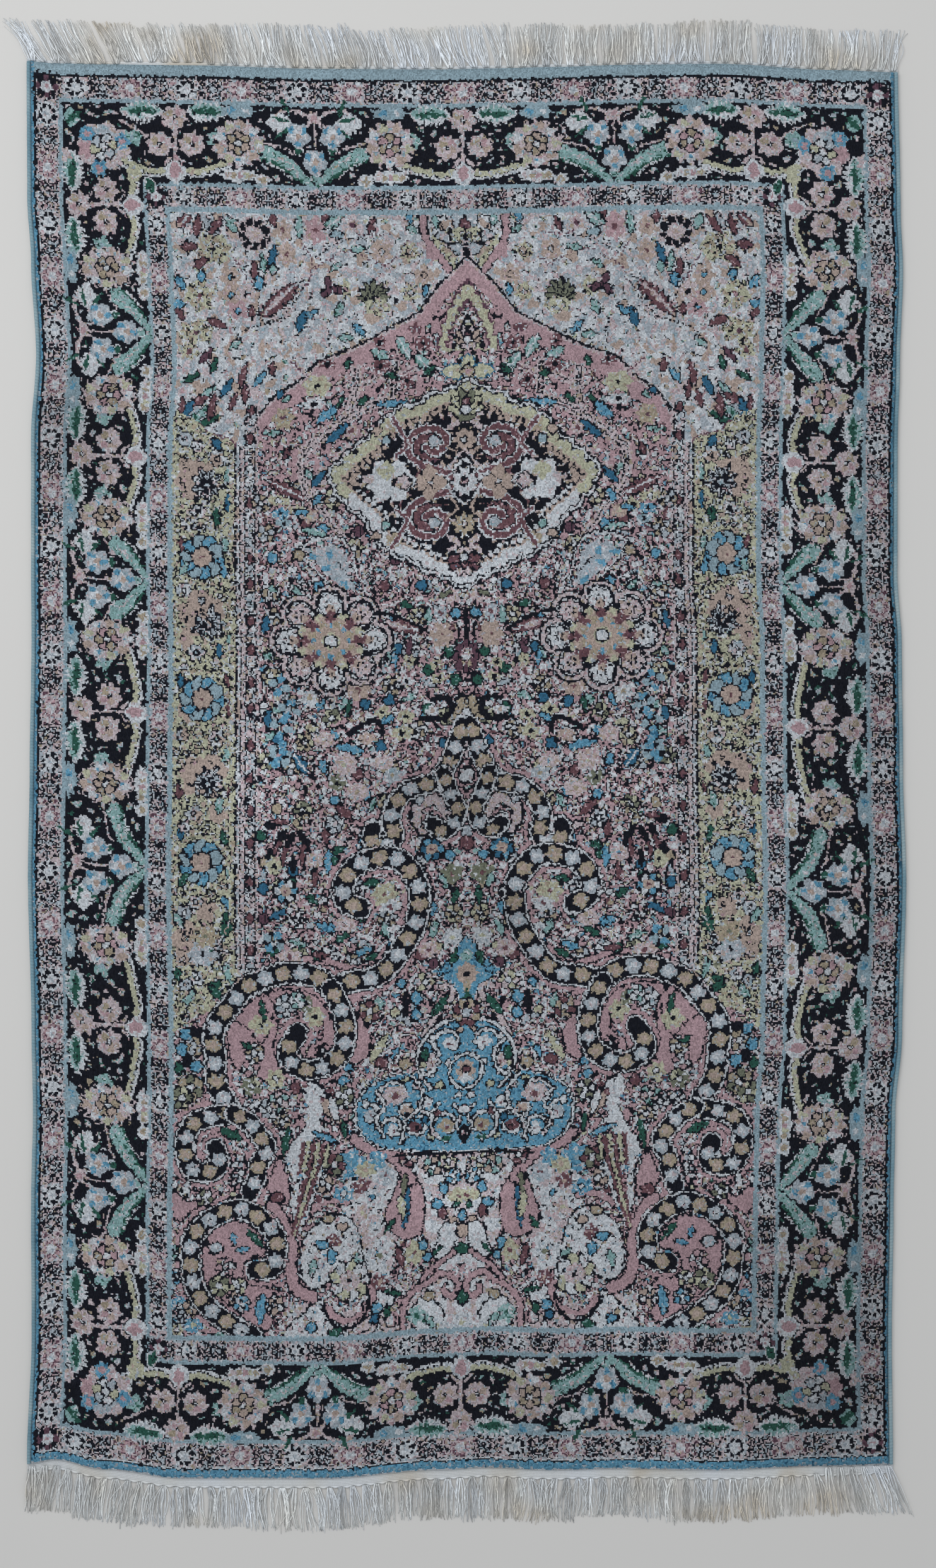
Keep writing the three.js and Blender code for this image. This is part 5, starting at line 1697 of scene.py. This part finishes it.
def pile_material(settings):
    """Knots in their charted dyes, with fibre and fading, and painted sheen in broad patches and
    where the pile leans to or from the light.
    """
    paint = Paint("knotted_pile")
    knot = paint.node("ShaderNodeUVMap", {"uv_map": "Knots"})
    across, along = knot.part(0), knot.part(1)
    rows = [paint.value(f"knots_{row}") for row in range(FACE_KNOTS)]
    packed = rows[0]
    for number in range(1, FACE_KNOTS):
        packed = packed + (along > number) * (rows[number] - rows[number - 1])
    shifted = (packed / DYE_COUNT ** across.floor() + 0.001).floor()
    dye = shifted - DYE_COUNT * (shifted / DYE_COUNT).floor()
    whole = paint.value("cell", "Vector") + knot.floor()
    chance = paint.node("ShaderNodeTexWhiteNoise", {"noise_dimensions": "2D"}, {"Vector": whole})
    colours = [linear(*DYES[dye_number]) for dye_number in range(DYE_COUNT)]
    colour = paint.ramp((dye + 0.5) / DYE_COUNT, colours, constant=True)
    fibre = paint.noise(900, (1.0, 0.35, 1.0), 3, 0.6)
    # Broad patches of painted sheen, lighter and darker, scaled together with the faded bands
    broad_sheen = paint.noise(9, (1.0, 1.6, 1.0), 3, 0.55)
    streak = paint.noise(60, (0.12, 1.0, 1.0), 2, 0.5)
    tone = 1.0 + settings.knot_variety * (chance - 0.5) + settings.fibre_variety * (fibre - 0.5)
    tone = tone * (1.0 + settings.abrash_and_sheen * ((streak - 0.5) + 1.4 * (broad_sheen - 0.5)))
    # Painted sheen: the colour made lighter or darker in the listed patches where the pile leans to
    # or from the light
    place = paint.place()
    for x, y, wide, tall, change in SHEEN_PATCHES:
        off_x = (place.part(0) - x) / wide
        off_y = (place.part(1) - y) / tall
        near = (1 - (off_x * off_x + off_y * off_y)).clamp()
        tone = tone * (1 + change * near * near)
    shade = paint.node("ShaderNodeVectorMath", {"operation": "SCALE"}, {0: colour, 3: tone})
    haze = (fibre * 1.5 - 0.45).clamp() * settings.haze
    shade = paint.blend(haze, shade, linear(176, 176, 178))
    round_x = across - across.floor() - 0.5
    round_y = along - along.floor() - 0.5
    tuft = 0.25 - (round_x * round_x + round_y * round_y) * 0.5
    height = tuft + fibre * 0.9 + (chance - 0.5) * 0.25
    return paint.finish(shade, 0.62 + 0.2 * fibre, height, settings.knot_relief,
                        Specular_IOR_Level=0.06, Sheen_Weight=0.03, Sheen_Roughness=0.4)


def back_material(settings):
    """The ribbed underside in mottled pale and grey knots."""
    paint = Paint("knotted_back")
    place = paint.place()
    rib = paint.node("ShaderNodeTexWave", {"wave_type": "BANDS", "bands_direction": "Y"},
                     {"Vector": place, "Scale": 0.05 / KNOT, "Distortion": 0.4})
    knots = paint.node("ShaderNodeTexVoronoi", {}, {"Vector": place, "Scale": 1 / KNOT}, 1)
    blotch = paint.noise(22, (1, 1, 1), 3, 0.6)
    colour = paint.ramp(blotch, [linear(96, 92, 98), linear(150, 140, 138), linear(176, 170, 166)],
                        [0.35, 0.5, 0.62])
    colour = paint.blend(0.25, colour, knots, "OVERLAY")
    return paint.finish(colour, 0.9, rib, settings.knot_relief * 0.6)


def cord_material(settings):
    """Blue yarn, with painted shade between its wraps."""
    paint = Paint("side_binding")
    wrap = paint.value("wrap")
    fuzz = paint.noise(700, (1, 1, 1), 3, 0.6)
    patch = paint.noise(18, (1, 1, 1), 3, 0.55)
    blues = [linear(84, 122, 138), linear(120, 152, 164), linear(160, 176, 178)]
    colour = paint.ramp(patch * 0.7 + fuzz * 0.3, blues, [0.3, 0.5, 0.68])
    # Painted shade: the colour darkened towards the hollows between the wraps
    shade = paint.blend((1 - wrap) * 0.35, colour, linear(60, 84, 96))
    return paint.finish(shade, 0.85, fuzz, settings.knot_relief * 0.5, Sheen_Weight=0.2)


def yarn_material(settings):
    """Off-white cotton of the webs and the fringe, with painted shade and random tone from a mesh
    attribute.
    """
    paint = Paint("warp_yarn")
    painted_shade_and_tone = paint.value("painted_shade_and_tone")
    fuzz = paint.noise(900, (1, 1, 1), 3, 0.6)
    patch = paint.noise(12, (1, 1, 1), 2, 0.5)
    pales = [linear(204, 198, 187), linear(213, 215, 214), linear(216, 221, 226)]
    colour = paint.ramp(patch, pales, [0.34, 0.46, 0.62])
    # The colour scaled by the painted shade and random tone that the webs and threads carry
    shade = paint.node("ShaderNodeVectorMath", {"operation": "SCALE"},
                       {0: colour, 3: 0.5 + 0.66 * painted_shade_and_tone + 0.36 * (fuzz - 0.5)})
    return paint.finish(shade, 0.9, fuzz, settings.knot_relief * 0.4)


# Pieces

class RugSettings(bpy.types.PropertyGroup):
    """What can be changed in the rug's look."""

    seed: IntProperty(name="Seed", description="Number that the scatter of threads starts from",
                      default=7)
    knot_relief: FloatProperty(name="Knot Relief", description="Depth of the finest relief",
                               default=0.0006, unit="LENGTH")
    knot_variety: FloatProperty(name="Knot Variety", description="How far knots of one dye differ",
                                default=0.6)
    fibre_variety: FloatProperty(name="Fibre Variety",
                                 description="How far fibres of a knot differ", default=1.0)
    # Scales the faded bands and also the broad patches of painted sheen
    abrash_and_sheen: FloatProperty(name="Abrash", description="Strength of faded bands and patches",
                          default=0.25)
    haze: FloatProperty(name="Haze", description="How much pale fibre tips veil the dyes",
                        default=0.03)
    threads: IntProperty(name="Threads", description="Threads in each bunch of the fringe",
                         default=14)
    thread_radius: FloatProperty(name="Thread Radius", default=0.00052, unit="LENGTH",
                                 description="Half the thickness of a fringe thread")
    stage_size: FloatProperty(name="Stage Size", description="Width of the floor", default=8.0,
                              unit="LENGTH")
    light_power: FloatProperty(name="Light Power", description="Power of the soft light in watts",
                               default=46.0)
    lens: FloatProperty(name="Lens", description="Focal length of the camera in millimetres",
                        default=50.0)
    backdrop: FloatVectorProperty(name="Backdrop", description="Colour of the floor",
                                  subtype="COLOR", default=(0.62, 0.61, 0.59))


def knot_lines():
    """The grid lines of the pile, a face apart: as knots, and as knots held within the body."""
    across = np.arange(-MIDDLE, MIDDLE + 1, float(FACE_KNOTS))
    along = np.arange(0, KNOTS_ALONG + 1, float(FACE_KNOTS))
    held_across = np.clip(across, -BODY_HALF / KNOT, BODY_HALF / KNOT)
    held_along = np.clip(along, 0, RUG_LENGTH / KNOT)
    return across, along, held_across, held_along


class RUG_OT_pile(bpy.types.Operator):
    """Adds the knotted pile, with four by four knots charted on each face"""

    bl_idname = "rug.pile"
    bl_label = "Add Pile"

    def execute(self, context):
        settings = context.scene.rug
        chart = Chart(KNOTS_ALONG, KNOTS_ACROSS, -MIDDLE, IVORY)
        weave(chart)
        across, along, held_across, held_along = knot_lines()
        wide, tall = len(across), len(along)
        x, up = np.meshgrid(held_across * KNOT, RUG_LENGTH - held_along * KNOT)
        plan = in_plan(x, up)
        top = np.stack([plan[0], plan[1], pile_height(x, up)], axis=2).reshape(-1, 3)
        ring = rim_ring(tall, wide)
        foot = top[ring] * (1, 1, 0)
        points = np.vstack([top, foot])
        count = len(ring)
        start = len(top)
        step = np.arange(count)
        after = (step + 1) % count
        walls = np.stack([ring[step], ring[after], start + after, start + step], axis=1)
        tops = grid_faces(tall, wide)[:, ::-1]
        faces = np.vstack([tops, walls]).tolist()
        piece = new_piece("rug_pile", points, faces, "rug_body", pile_material(settings))

        size = FACE_KNOTS
        blocks = chart.knots.reshape(tall - 1, size, wide - 1, size).astype(np.int64)
        packed = (blocks * DYE_COUNT ** np.arange(size)).sum(axis=3).transpose(0, 2, 1)
        packed = packed.reshape(-1, size)
        beside = wall_faces(tall, wide)
        for row in range(size):
            values = np.concatenate([packed[:, row], packed[beside, row]])
            add_values(piece, f"knots_{row}", "FLOAT", "FACE", values)
        rows, columns = np.divmod(np.arange(len(tops)), wide - 1)
        cells = np.stack([columns * size, rows * size, np.zeros_like(rows)], axis=1)
        cells = np.vstack([cells, cells[beside] + (0, 0, 1)])
        add_values(piece, "cell", "FLOAT_VECTOR", "FACE", cells)
        corners = knot_map(across, along, held_across, held_along, tops, walls)
        add_map(piece, "Knots", corners)
        add_map(piece, "OFBake", bake_map(tops, walls, wide, tall, ring))
        return {"FINISHED"}


def rim_ring(tall, wide):
    """Points round the rim of a grid, in order."""
    head = np.arange(wide)
    right = np.arange(1, tall) * wide + wide - 1
    foot = (tall - 1) * wide + np.arange(wide - 2, -1, -1)
    left = np.arange(tall - 2, 0, -1) * wide
    return np.concatenate([head, right, foot, left])


def wall_faces(tall, wide):
    """The top face that each wall face borders on, in the order of the rim."""
    head = np.arange(wide - 1)
    right = np.arange(tall - 1) * (wide - 1) + wide - 2
    foot = (tall - 2) * (wide - 1) + np.arange(wide - 2, -1, -1)
    left = np.arange(tall - 2, -1, -1) * (wide - 1)
    return np.concatenate([head, right, foot, left])


FACE_START, FACE_END = 0.001, 3.999  # a face's first and last knot, a hair inside it


def knot_map(across, along, held_across, held_along, tops, walls):
    """Which knot of its face each corner is at. A wall shows the knots at the face's edge."""
    wide = len(across)
    rows, columns = np.divmod(tops, wide)
    cell_row, cell_column = np.divmod(np.arange(len(tops)), wide - 1)
    u = held_across[columns] - across[cell_column][:, None]
    v = held_along[rows] - along[cell_row][:, None]
    on_top = np.clip(np.stack([u, v], axis=2), FACE_START, FACE_END)
    count = len(walls)
    number = np.arange(count)
    at = np.zeros((count, 4, 2))
    at[:, :, 0] = FACE_START, FACE_END, FACE_END, FACE_START
    right_end = wide - 1 + len(along) - 1
    sides = (number >= wide - 1) & (number < right_end) | (number >= right_end + wide - 1)
    at[sides, :, 1] = FACE_START, FACE_END, FACE_END, FACE_START
    at[sides, :, 0] = np.where(number < 2 * (wide - 1), 3.5, 0.9)[sides][:, None]
    at[~sides, :, 1] = np.where(number < wide - 1, 0.5, 1.2)[~sides][:, None]
    return np.concatenate([on_top.reshape(-1, 2), at.reshape(-1, 2)])


def bake_map(tops, walls, wide, tall, ring):
    """A map that fills its square with the top and folds the walls into a thin rim round it."""
    rim = 0.004
    u = rim + (1 - 2 * rim) * np.tile(np.linspace(0, 1, wide), tall)
    v = rim + (1 - 2 * rim) * np.repeat(np.linspace(1, 0, tall), wide)
    top = np.stack([u, v], axis=1)
    edge = rim * 1.01
    out = top[ring] + np.where(top[ring] < edge, -rim, 0) + np.where(top[ring] > 1 - edge, rim, 0)
    places = np.vstack([top, out])
    return np.concatenate([places[tops].reshape(-1, 2), places[walls].reshape(-1, 2)])


class RUG_OT_back(bpy.types.Operator):
    """Adds the underside of the knotted body"""

    bl_idname = "rug.back"
    bl_label = "Add Back"

    def execute(self, context):
        across, along, held_across, held_along = knot_lines()
        x, up = np.meshgrid(held_across * KNOT, RUG_LENGTH - held_along * KNOT)
        plan = in_plan(x, up)
        points = np.stack([plan[0], plan[1], np.zeros_like(x)], axis=2).reshape(-1, 3)
        faces = grid_faces(len(along), len(across))
        material = back_material(context.scene.rug)
        piece = new_piece("rug_back", points, faces.tolist(), "rug_body", material)
        u = np.tile(np.linspace(0, 1, len(across)), len(along))
        v = np.repeat(np.linspace(1, 0, len(along)), len(across))
        add_map(piece, "OFBake", np.stack([u, v], axis=1)[faces].reshape(-1, 2))
        return {"FINISHED"}


class RUG_OT_cords(bpy.types.Operator):
    """Adds the overcast cord down each side"""

    bl_idname = "rug.cords"
    bl_label = "Add Side Cords"

    def execute(self, context):
        material = cord_material(context.scene.rug)
        rng = np.random.default_rng(context.scene.rug.seed)
        for side, node in ((-1, "selvedge_left"), (1, "selvedge_right")):
            add_cord(side, node, material, rng)
        return {"FINISHED"}


CORD_SIDES = 12
CORD_STEP = 0.0011
WRAP_PITCH = 0.0034
LOOSE_PITCH = 0.047
YARN_STRAY = 0.00008


def add_cord(side, node, material, rng):
    """One cord, flat underneath and ridged by the yarn wrapped round it."""
    count = int(RUG_LENGTH / CORD_STEP)
    up = np.linspace(0, RUG_LENGTH, count + 1)
    bearing = np.arange(CORD_SIDES) * 2 * np.pi / CORD_SIDES
    ups, bearings = np.meshgrid(up, bearing, indexing="ij")
    slant = side * bearings / (2 * np.pi) * WRAP_PITCH
    wrap = 0.5 + 0.5 * np.cos(2 * np.pi * (ups + slant) / WRAP_PITCH)
    loose = 0.5 + 0.5 * np.sin(2 * np.pi * ups / LOOSE_PITCH + 3 * np.sin(ups * 31))
    uneven = rng.normal(0, YARN_STRAY, ups.shape)
    swell = 1 - 0.07 * (1 - wrap) - 0.05 * loose
    half_wide = CORD_WIDTH / 2 * swell + uneven
    wide = np.cos(bearings) * half_wide
    high = CORD_HEIGHT * 0.5 + np.sin(bearings) * (CORD_HEIGHT * 0.47 * swell + uneven)
    middle = side * (RUG_WIDTH - CORD_WIDTH) / 2
    plan = in_plan(middle + wide, ups)
    points = np.stack([plan[0], plan[1], np.maximum(high, 0.0)], axis=2).reshape(-1, 3)
    faces = grid_faces(count + 1, CORD_SIDES, closed=True)
    caps = [list(range(CORD_SIDES))[::-1], [count * CORD_SIDES + i for i in range(CORD_SIDES)]]
    name = node.replace("selvedge", "cord")
    piece = new_piece(name, points, faces.tolist() + caps, node, material)
    # Where each wrap's crest is; it also sets the painted shade between the wraps
    add_values(piece, "wrap", "FLOAT", "POINT", wrap)


class RUG_OT_webs(bpy.types.Operator):
    """Adds the flat-woven web at each end"""

    bl_idname = "rug.webs"
    bl_label = "Add Webs"

    def execute(self, context):
        material = yarn_material(context.scene.rug)
        rng = np.random.default_rng(context.scene.rug.seed + 1)
        for name, end in ENDS.items():
            add_web(name, end, material, rng)
        return {"FINISHED"}


def beyond_end(end, across, distance):
    """Places a distance out from the body's edge at one end."""
    x, y = in_plan(across, np.full_like(across, RUG_LENGTH if end["outward"] > 0 else 0.0))
    return x, y + end["outward"] * (PIECE_GAP + distance)


WEB_COLUMN = 0.0016
WEB_RELIEF = 0.0009
WEB_STRAY = 0.00005
KNOT_BUMP = 0.0006


def add_web(name, end, material, rng):
    """One web: a closed strip whose top is ribbed by its wefts."""
    columns = int(RUG_WIDTH / WEB_COLUMN)
    rows = end["ribs"] * 4 + 1
    across = np.linspace(-RUG_WIDTH / 2, RUG_WIDTH / 2, columns + 1)
    out = np.linspace(0, 1, rows)
    outs, acrosses = np.meshgrid(out, across, indexing="ij")
    rib = 0.5 - 0.5 * np.cos(2 * np.pi * outs * end["ribs"])
    warp = 0.5 + 0.5 * np.cos(np.pi * np.arange(columns + 1))[None, :]
    edge = np.sin(np.pi * np.clip(outs, 0.06, 0.94)) ** 0.25
    relief = (0.45 * rib + 0.2 * np.abs(rib - warp)) * WEB_RELIEF
    knotted = 0.5 + 0.5 * np.cos(2 * np.pi * (acrosses / RUG_WIDTH * BUNCHES + 0.5))
    knotted = knotted * np.clip(5 * outs - 4, 0, 1)
    top = WEB_THICKNESS * 0.62 * edge + relief + KNOT_BUMP * knotted
    top = top + rng.normal(0, WEB_STRAY, rib.shape)
    low = WEB_THICKNESS * 0.2 * (1 - edge)
    fray = 1 + 0.03 * np.sin(acrosses * 190) * outs + 0.14 * knotted * outs
    plan = beyond_end(end, acrosses, outs * end["web"] * fray)
    upper = np.stack([plan[0], plan[1], top], axis=2).reshape(-1, 3)
    lower = np.stack([plan[0], plan[1], low], axis=2).reshape(-1, 3)
    faces = grid_faces(rows, columns + 1)
    ring = rim_ring(rows, columns + 1)
    after = np.roll(ring, -1)
    start = len(upper)
    walls = np.stack([ring, ring + start, after + start, after], axis=1)
    if end["outward"] > 0:
        shell = np.vstack([faces, faces[:, ::-1] + start, walls])
    else:
        shell = np.vstack([faces[:, ::-1], faces + start, walls[:, ::-1]])
    points = np.vstack([upper, lower])
    node = f"fringe_{name}"
    piece = new_piece(f"web_{name}", points, shell.tolist(), node, material)
    # Painted shade: lighter on the weft ribs and the knots, darker in the hollows between the ribs
    shade = 0.25 + 0.5 * rib + 0.3 * knotted
    add_values(piece, "painted_shade_and_tone", "FLOAT", "POINT", np.concatenate([shade.ravel(), shade.ravel()]))


class RUG_OT_fringe(bpy.types.Operator):
    """Adds the bunches of warp threads at each end"""

    bl_idname = "rug.fringe"
    bl_label = "Add Fringe"

    def execute(self, context):
        material = yarn_material(context.scene.rug)
        for number, (name, end) in enumerate(ENDS.items()):
            rng = np.random.default_rng(context.scene.rug.seed + 10 + number)
            add_fringe(name, end, context.scene.rug, material, rng)
        return {"FINISHED"}


THREAD_SECTIONS = 13
THREAD_SIDES = 3
PLY_PITCH = 0.0016
FLOOR_GAP = 0.00005


def add_fringe(name, end, settings, material, rng):
    """All threads of one end: each bunch leaves a knot at the web and fans out over the floor."""
    bunches = np.arange(BUNCHES)
    pitch = RUG_WIDTH / BUNCHES
    middles = (bunches + 0.5) * pitch - RUG_WIDTH / 2
    leans = np.interp(middles, *np.array(end["leans"]).T)
    slow = 0.05 * np.sin(middles / 0.23 * 2 * np.pi)
    bunch_length = end["length"] * (1 + slow + rng.normal(0, 0.025, BUNCHES))
    root = np.interp(middles, *np.array(end["roots"]).T) * end["web"]
    bunch_bow = rng.normal(0, 0.0016, BUNCHES)
    bunch_tone = rng.normal(0, 0.15, BUNCHES)
    bunch_lean = leans + rng.normal(0, 0.025, BUNCHES)
    count = BUNCHES * settings.threads
    of = np.repeat(bunches, settings.threads)
    across_bunch = np.linspace(-1, 1, settings.threads)
    lock = np.round(across_bunch * 1.3)
    lock_place = lock / 1.3 * 0.9 + (across_bunch - lock / 1.3) * 0.45
    place = np.tile(across_bunch, BUNCHES) + rng.normal(0, 0.06, count)
    tip_place = np.tile(lock_place, BUNCHES) + rng.normal(0, 0.09, count)
    lock_stray = rng.normal(0, 0.12, (BUNCHES, 3))
    tip_place += np.repeat(lock_stray, np.bincount((lock + 1).astype(int)), axis=1).ravel()
    stray = rng.random(count) < end["strays"]
    uneven = rng.normal(0, 0.035, count)
    length = bunch_length[of] * (1 + uneven - 0.12 * (rng.random(count) < 0.12))
    lean = bunch_lean[of] + rng.normal(0, 0.035, count)
    lean = lean + stray * np.clip(rng.normal(0, 0.2, count), -0.3, 0.3)
    bow = bunch_bow[of] + rng.normal(0, 0.001, count) + stray * rng.normal(0, 0.004, count)
    wave = rng.normal(0, 0.0006, count)
    turn = rng.random(count) * 2 * np.pi
    layer = rng.random(count)
    t = np.linspace(0, 1, THREAD_SECTIONS)
    reach = length + end["web"] - root[of]
    out = t[None, :] * reach[:, None]
    fan = 0.5 + 0.66 * np.clip(t / 0.4, 0, 1) ** 0.8
    parted = np.clip(t / 0.6, 0, 1)[None, :]
    placed = place[:, None] * (1 - parted) + tip_place[:, None] * parted
    across = middles[of][:, None] + placed * end["spread"] * fan[None, :]
    x, y = beyond_end(end, middles[of][:, None] + 0 * out, root[of][:, None] + 0.0002 + out)
    x = x + (across - middles[of][:, None]) + lean[:, None] * out
    x = x + bow[:, None] * np.sin(np.pi * t) + wave[:, None] * np.sin(3 * np.pi * t + turn[:, None])
    rise = 0.0011 + 0.0012 * layer + 0.0014 * (root[of] < 0.9 * end["web"])
    radius = settings.thread_radius
    z = rise[:, None] * (1 - t) ** 0.7 + radius * (1 + 1.1 * layer[:, None] * (1 - t * 0.6))
    thin = radius * (1.0 - 0.25 * t ** 3)[None, :] * (1 + rng.normal(0, 0.1, count))[:, None]
    bearing = np.arange(THREAD_SIDES) * 2 * np.pi / THREAD_SIDES + np.pi / 2
    px = x[:, :, None] + thin[:, :, None] * np.cos(bearing)
    pz = z[:, :, None] + thin[:, :, None] * np.sin(bearing)
    py = np.broadcast_to(y[:, :, None], px.shape)
    points = np.stack([px, py, np.maximum(pz, FLOOR_GAP)], axis=3).reshape(-1, 3)
    one = grid_faces(THREAD_SECTIONS, THREAD_SIDES, closed=True)
    each = THREAD_SECTIONS * THREAD_SIDES
    starts = np.arange(count) * each
    tubes = (one[None] + starts[:, None, None]).reshape(-1, 4)
    tips = starts[:, None] + each - THREAD_SIDES + np.arange(THREAD_SIDES)
    roots = starts[:, None] + np.arange(THREAD_SIDES)[::-1]
    outwards = slice(None, None, -end["outward"])
    faces = [face for faces in (tubes, tips, roots) for face in faces[:, outwards].tolist()]
    piece = new_piece(f"threads_{name}", points, faces, f"fringe_{name}", material)
    # Painted shade: threads lower in a bunch and at the edges of a lock darker, and light and dark
    # stripes along the ply, over a random tone for each thread and bunch
    ply = 0.5 + 0.5 * np.sin(out / PLY_PITCH + turn[:, None] * 3)
    tone = 0.6 + 0.7 * layer + rng.normal(0, 0.15, count) + bunch_tone[of]
    lock_edge_shade = np.tile((2.6 * (across_bunch - lock / 1.3)) ** 2, BUNCHES)
    tone = np.clip(tone * (1.3 - lock_edge_shade), 0, 1.7)[:, None]
    shade = np.repeat((0.8 * tone + 0.3 * ply).ravel(), THREAD_SIDES)
    add_values(piece, "painted_shade_and_tone", "FLOAT", "POINT", shade)


class RUG_OT_stage(bpy.types.Operator):
    """Adds the floor, the soft light and the camera above the rug"""

    bl_idname = "rug.stage"
    bl_label = "Add Stage"

    def execute(self, context):
        settings = context.scene.rug
        bpy.ops.object.select_all(action="DESELECT")
        bpy.ops.mesh.primitive_plane_add(size=settings.stage_size, location=(0, 0, FLOOR_LEVEL))
        floor = context.object
        floor.name = "floor"
        paint = Paint("pale_floor")
        floor.data.materials.append(paint.finish(paint.colour(tuple(settings.backdrop)), 0.9))
        bpy.ops.object.light_add(type="AREA", location=LAMP_PLACE, rotation=LAMP_TURN)
        lamp = context.object
        lamp.name = "soft_light"
        lamp.data.energy = settings.light_power
        lamp.data.size = LAMP_SIZE
        world = bpy.data.worlds.new("pale_room")
        context.scene.world = world
        world.use_nodes = True
        room = world.node_tree.nodes["Background"]
        room.inputs["Color"].default_value = ROOM_COLOUR
        room.inputs["Strength"].default_value = ROOM_LIGHT
        bpy.ops.object.camera_add(location=camera_place(settings.lens), rotation=(0, 0, 0))
        camera = context.object
        camera.name = "camera"
        camera.data.lens = settings.lens
        camera.data.sensor_width = SENSOR
        camera.data.dof.use_dof = False
        context.scene.camera = camera
        context.scene.view_settings.view_transform = "Standard"
        return {"FINISHED"}


FLOOR_LEVEL = -0.0004
LAMP_PLACE = -0.9, 1.1, 2.6
LAMP_TURN = -0.35, -0.3, 0
LAMP_SIZE = 2.4
ROOM_COLOUR = 0.93, 0.96, 1.0, 1
ROOM_LIGHT = 0.575
SENSOR = 36
PIXEL = 0.0006809  # metres of the rug for each pixel of the photo
PHOTO_HEIGHT = 2487
VIEW_MIDDLE = 0.0027, -0.017  # from the middle of the straight rug


def camera_place(lens):
    """Straight above the middle of the view, as far up as the lens needs to hold its height."""
    up = RUG_THICKNESS + PHOTO_HEIGHT * PIXEL / 2 / (SENSOR / 2 / lens)
    return SHIFT[0] + VIEW_MIDDLE[0], SHIFT[1] + RUG_LENGTH / 2 + VIEW_MIDDLE[1], up


class RUG_PT_panel(bpy.types.Panel):
    """The rug's settings and steps"""

    bl_label = "Kashmir Rug"
    bl_space_type = "VIEW_3D"
    bl_region_type = "UI"
    bl_category = "Rug"

    def draw(self, context):
        settings = context.scene.rug
        for name in RugSettings.__annotations__:
            self.layout.prop(settings, name)
        for operator in OPERATORS:
            self.layout.operator(operator.bl_idname)


OPERATORS = (RUG_OT_pile, RUG_OT_back, RUG_OT_cords, RUG_OT_webs, RUG_OT_fringe, RUG_OT_stage)
CLASSES = (RugSettings, *OPERATORS, RUG_PT_panel)


def register():
    for cls in CLASSES:
        bpy.utils.register_class(cls)
    bpy.types.Scene.rug = PointerProperty(type=RugSettings)


def unregister():
    del bpy.types.Scene.rug
    for cls in reversed(CLASSES):
        bpy.utils.unregister_class(cls)


def main():
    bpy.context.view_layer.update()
    register()
    bpy.ops.rug.pile()
    bpy.ops.rug.back()
    bpy.ops.rug.cords()
    bpy.ops.rug.webs()
    bpy.ops.rug.fringe()
    bpy.ops.rug.stage()


if __name__ == "__main__":
    main()
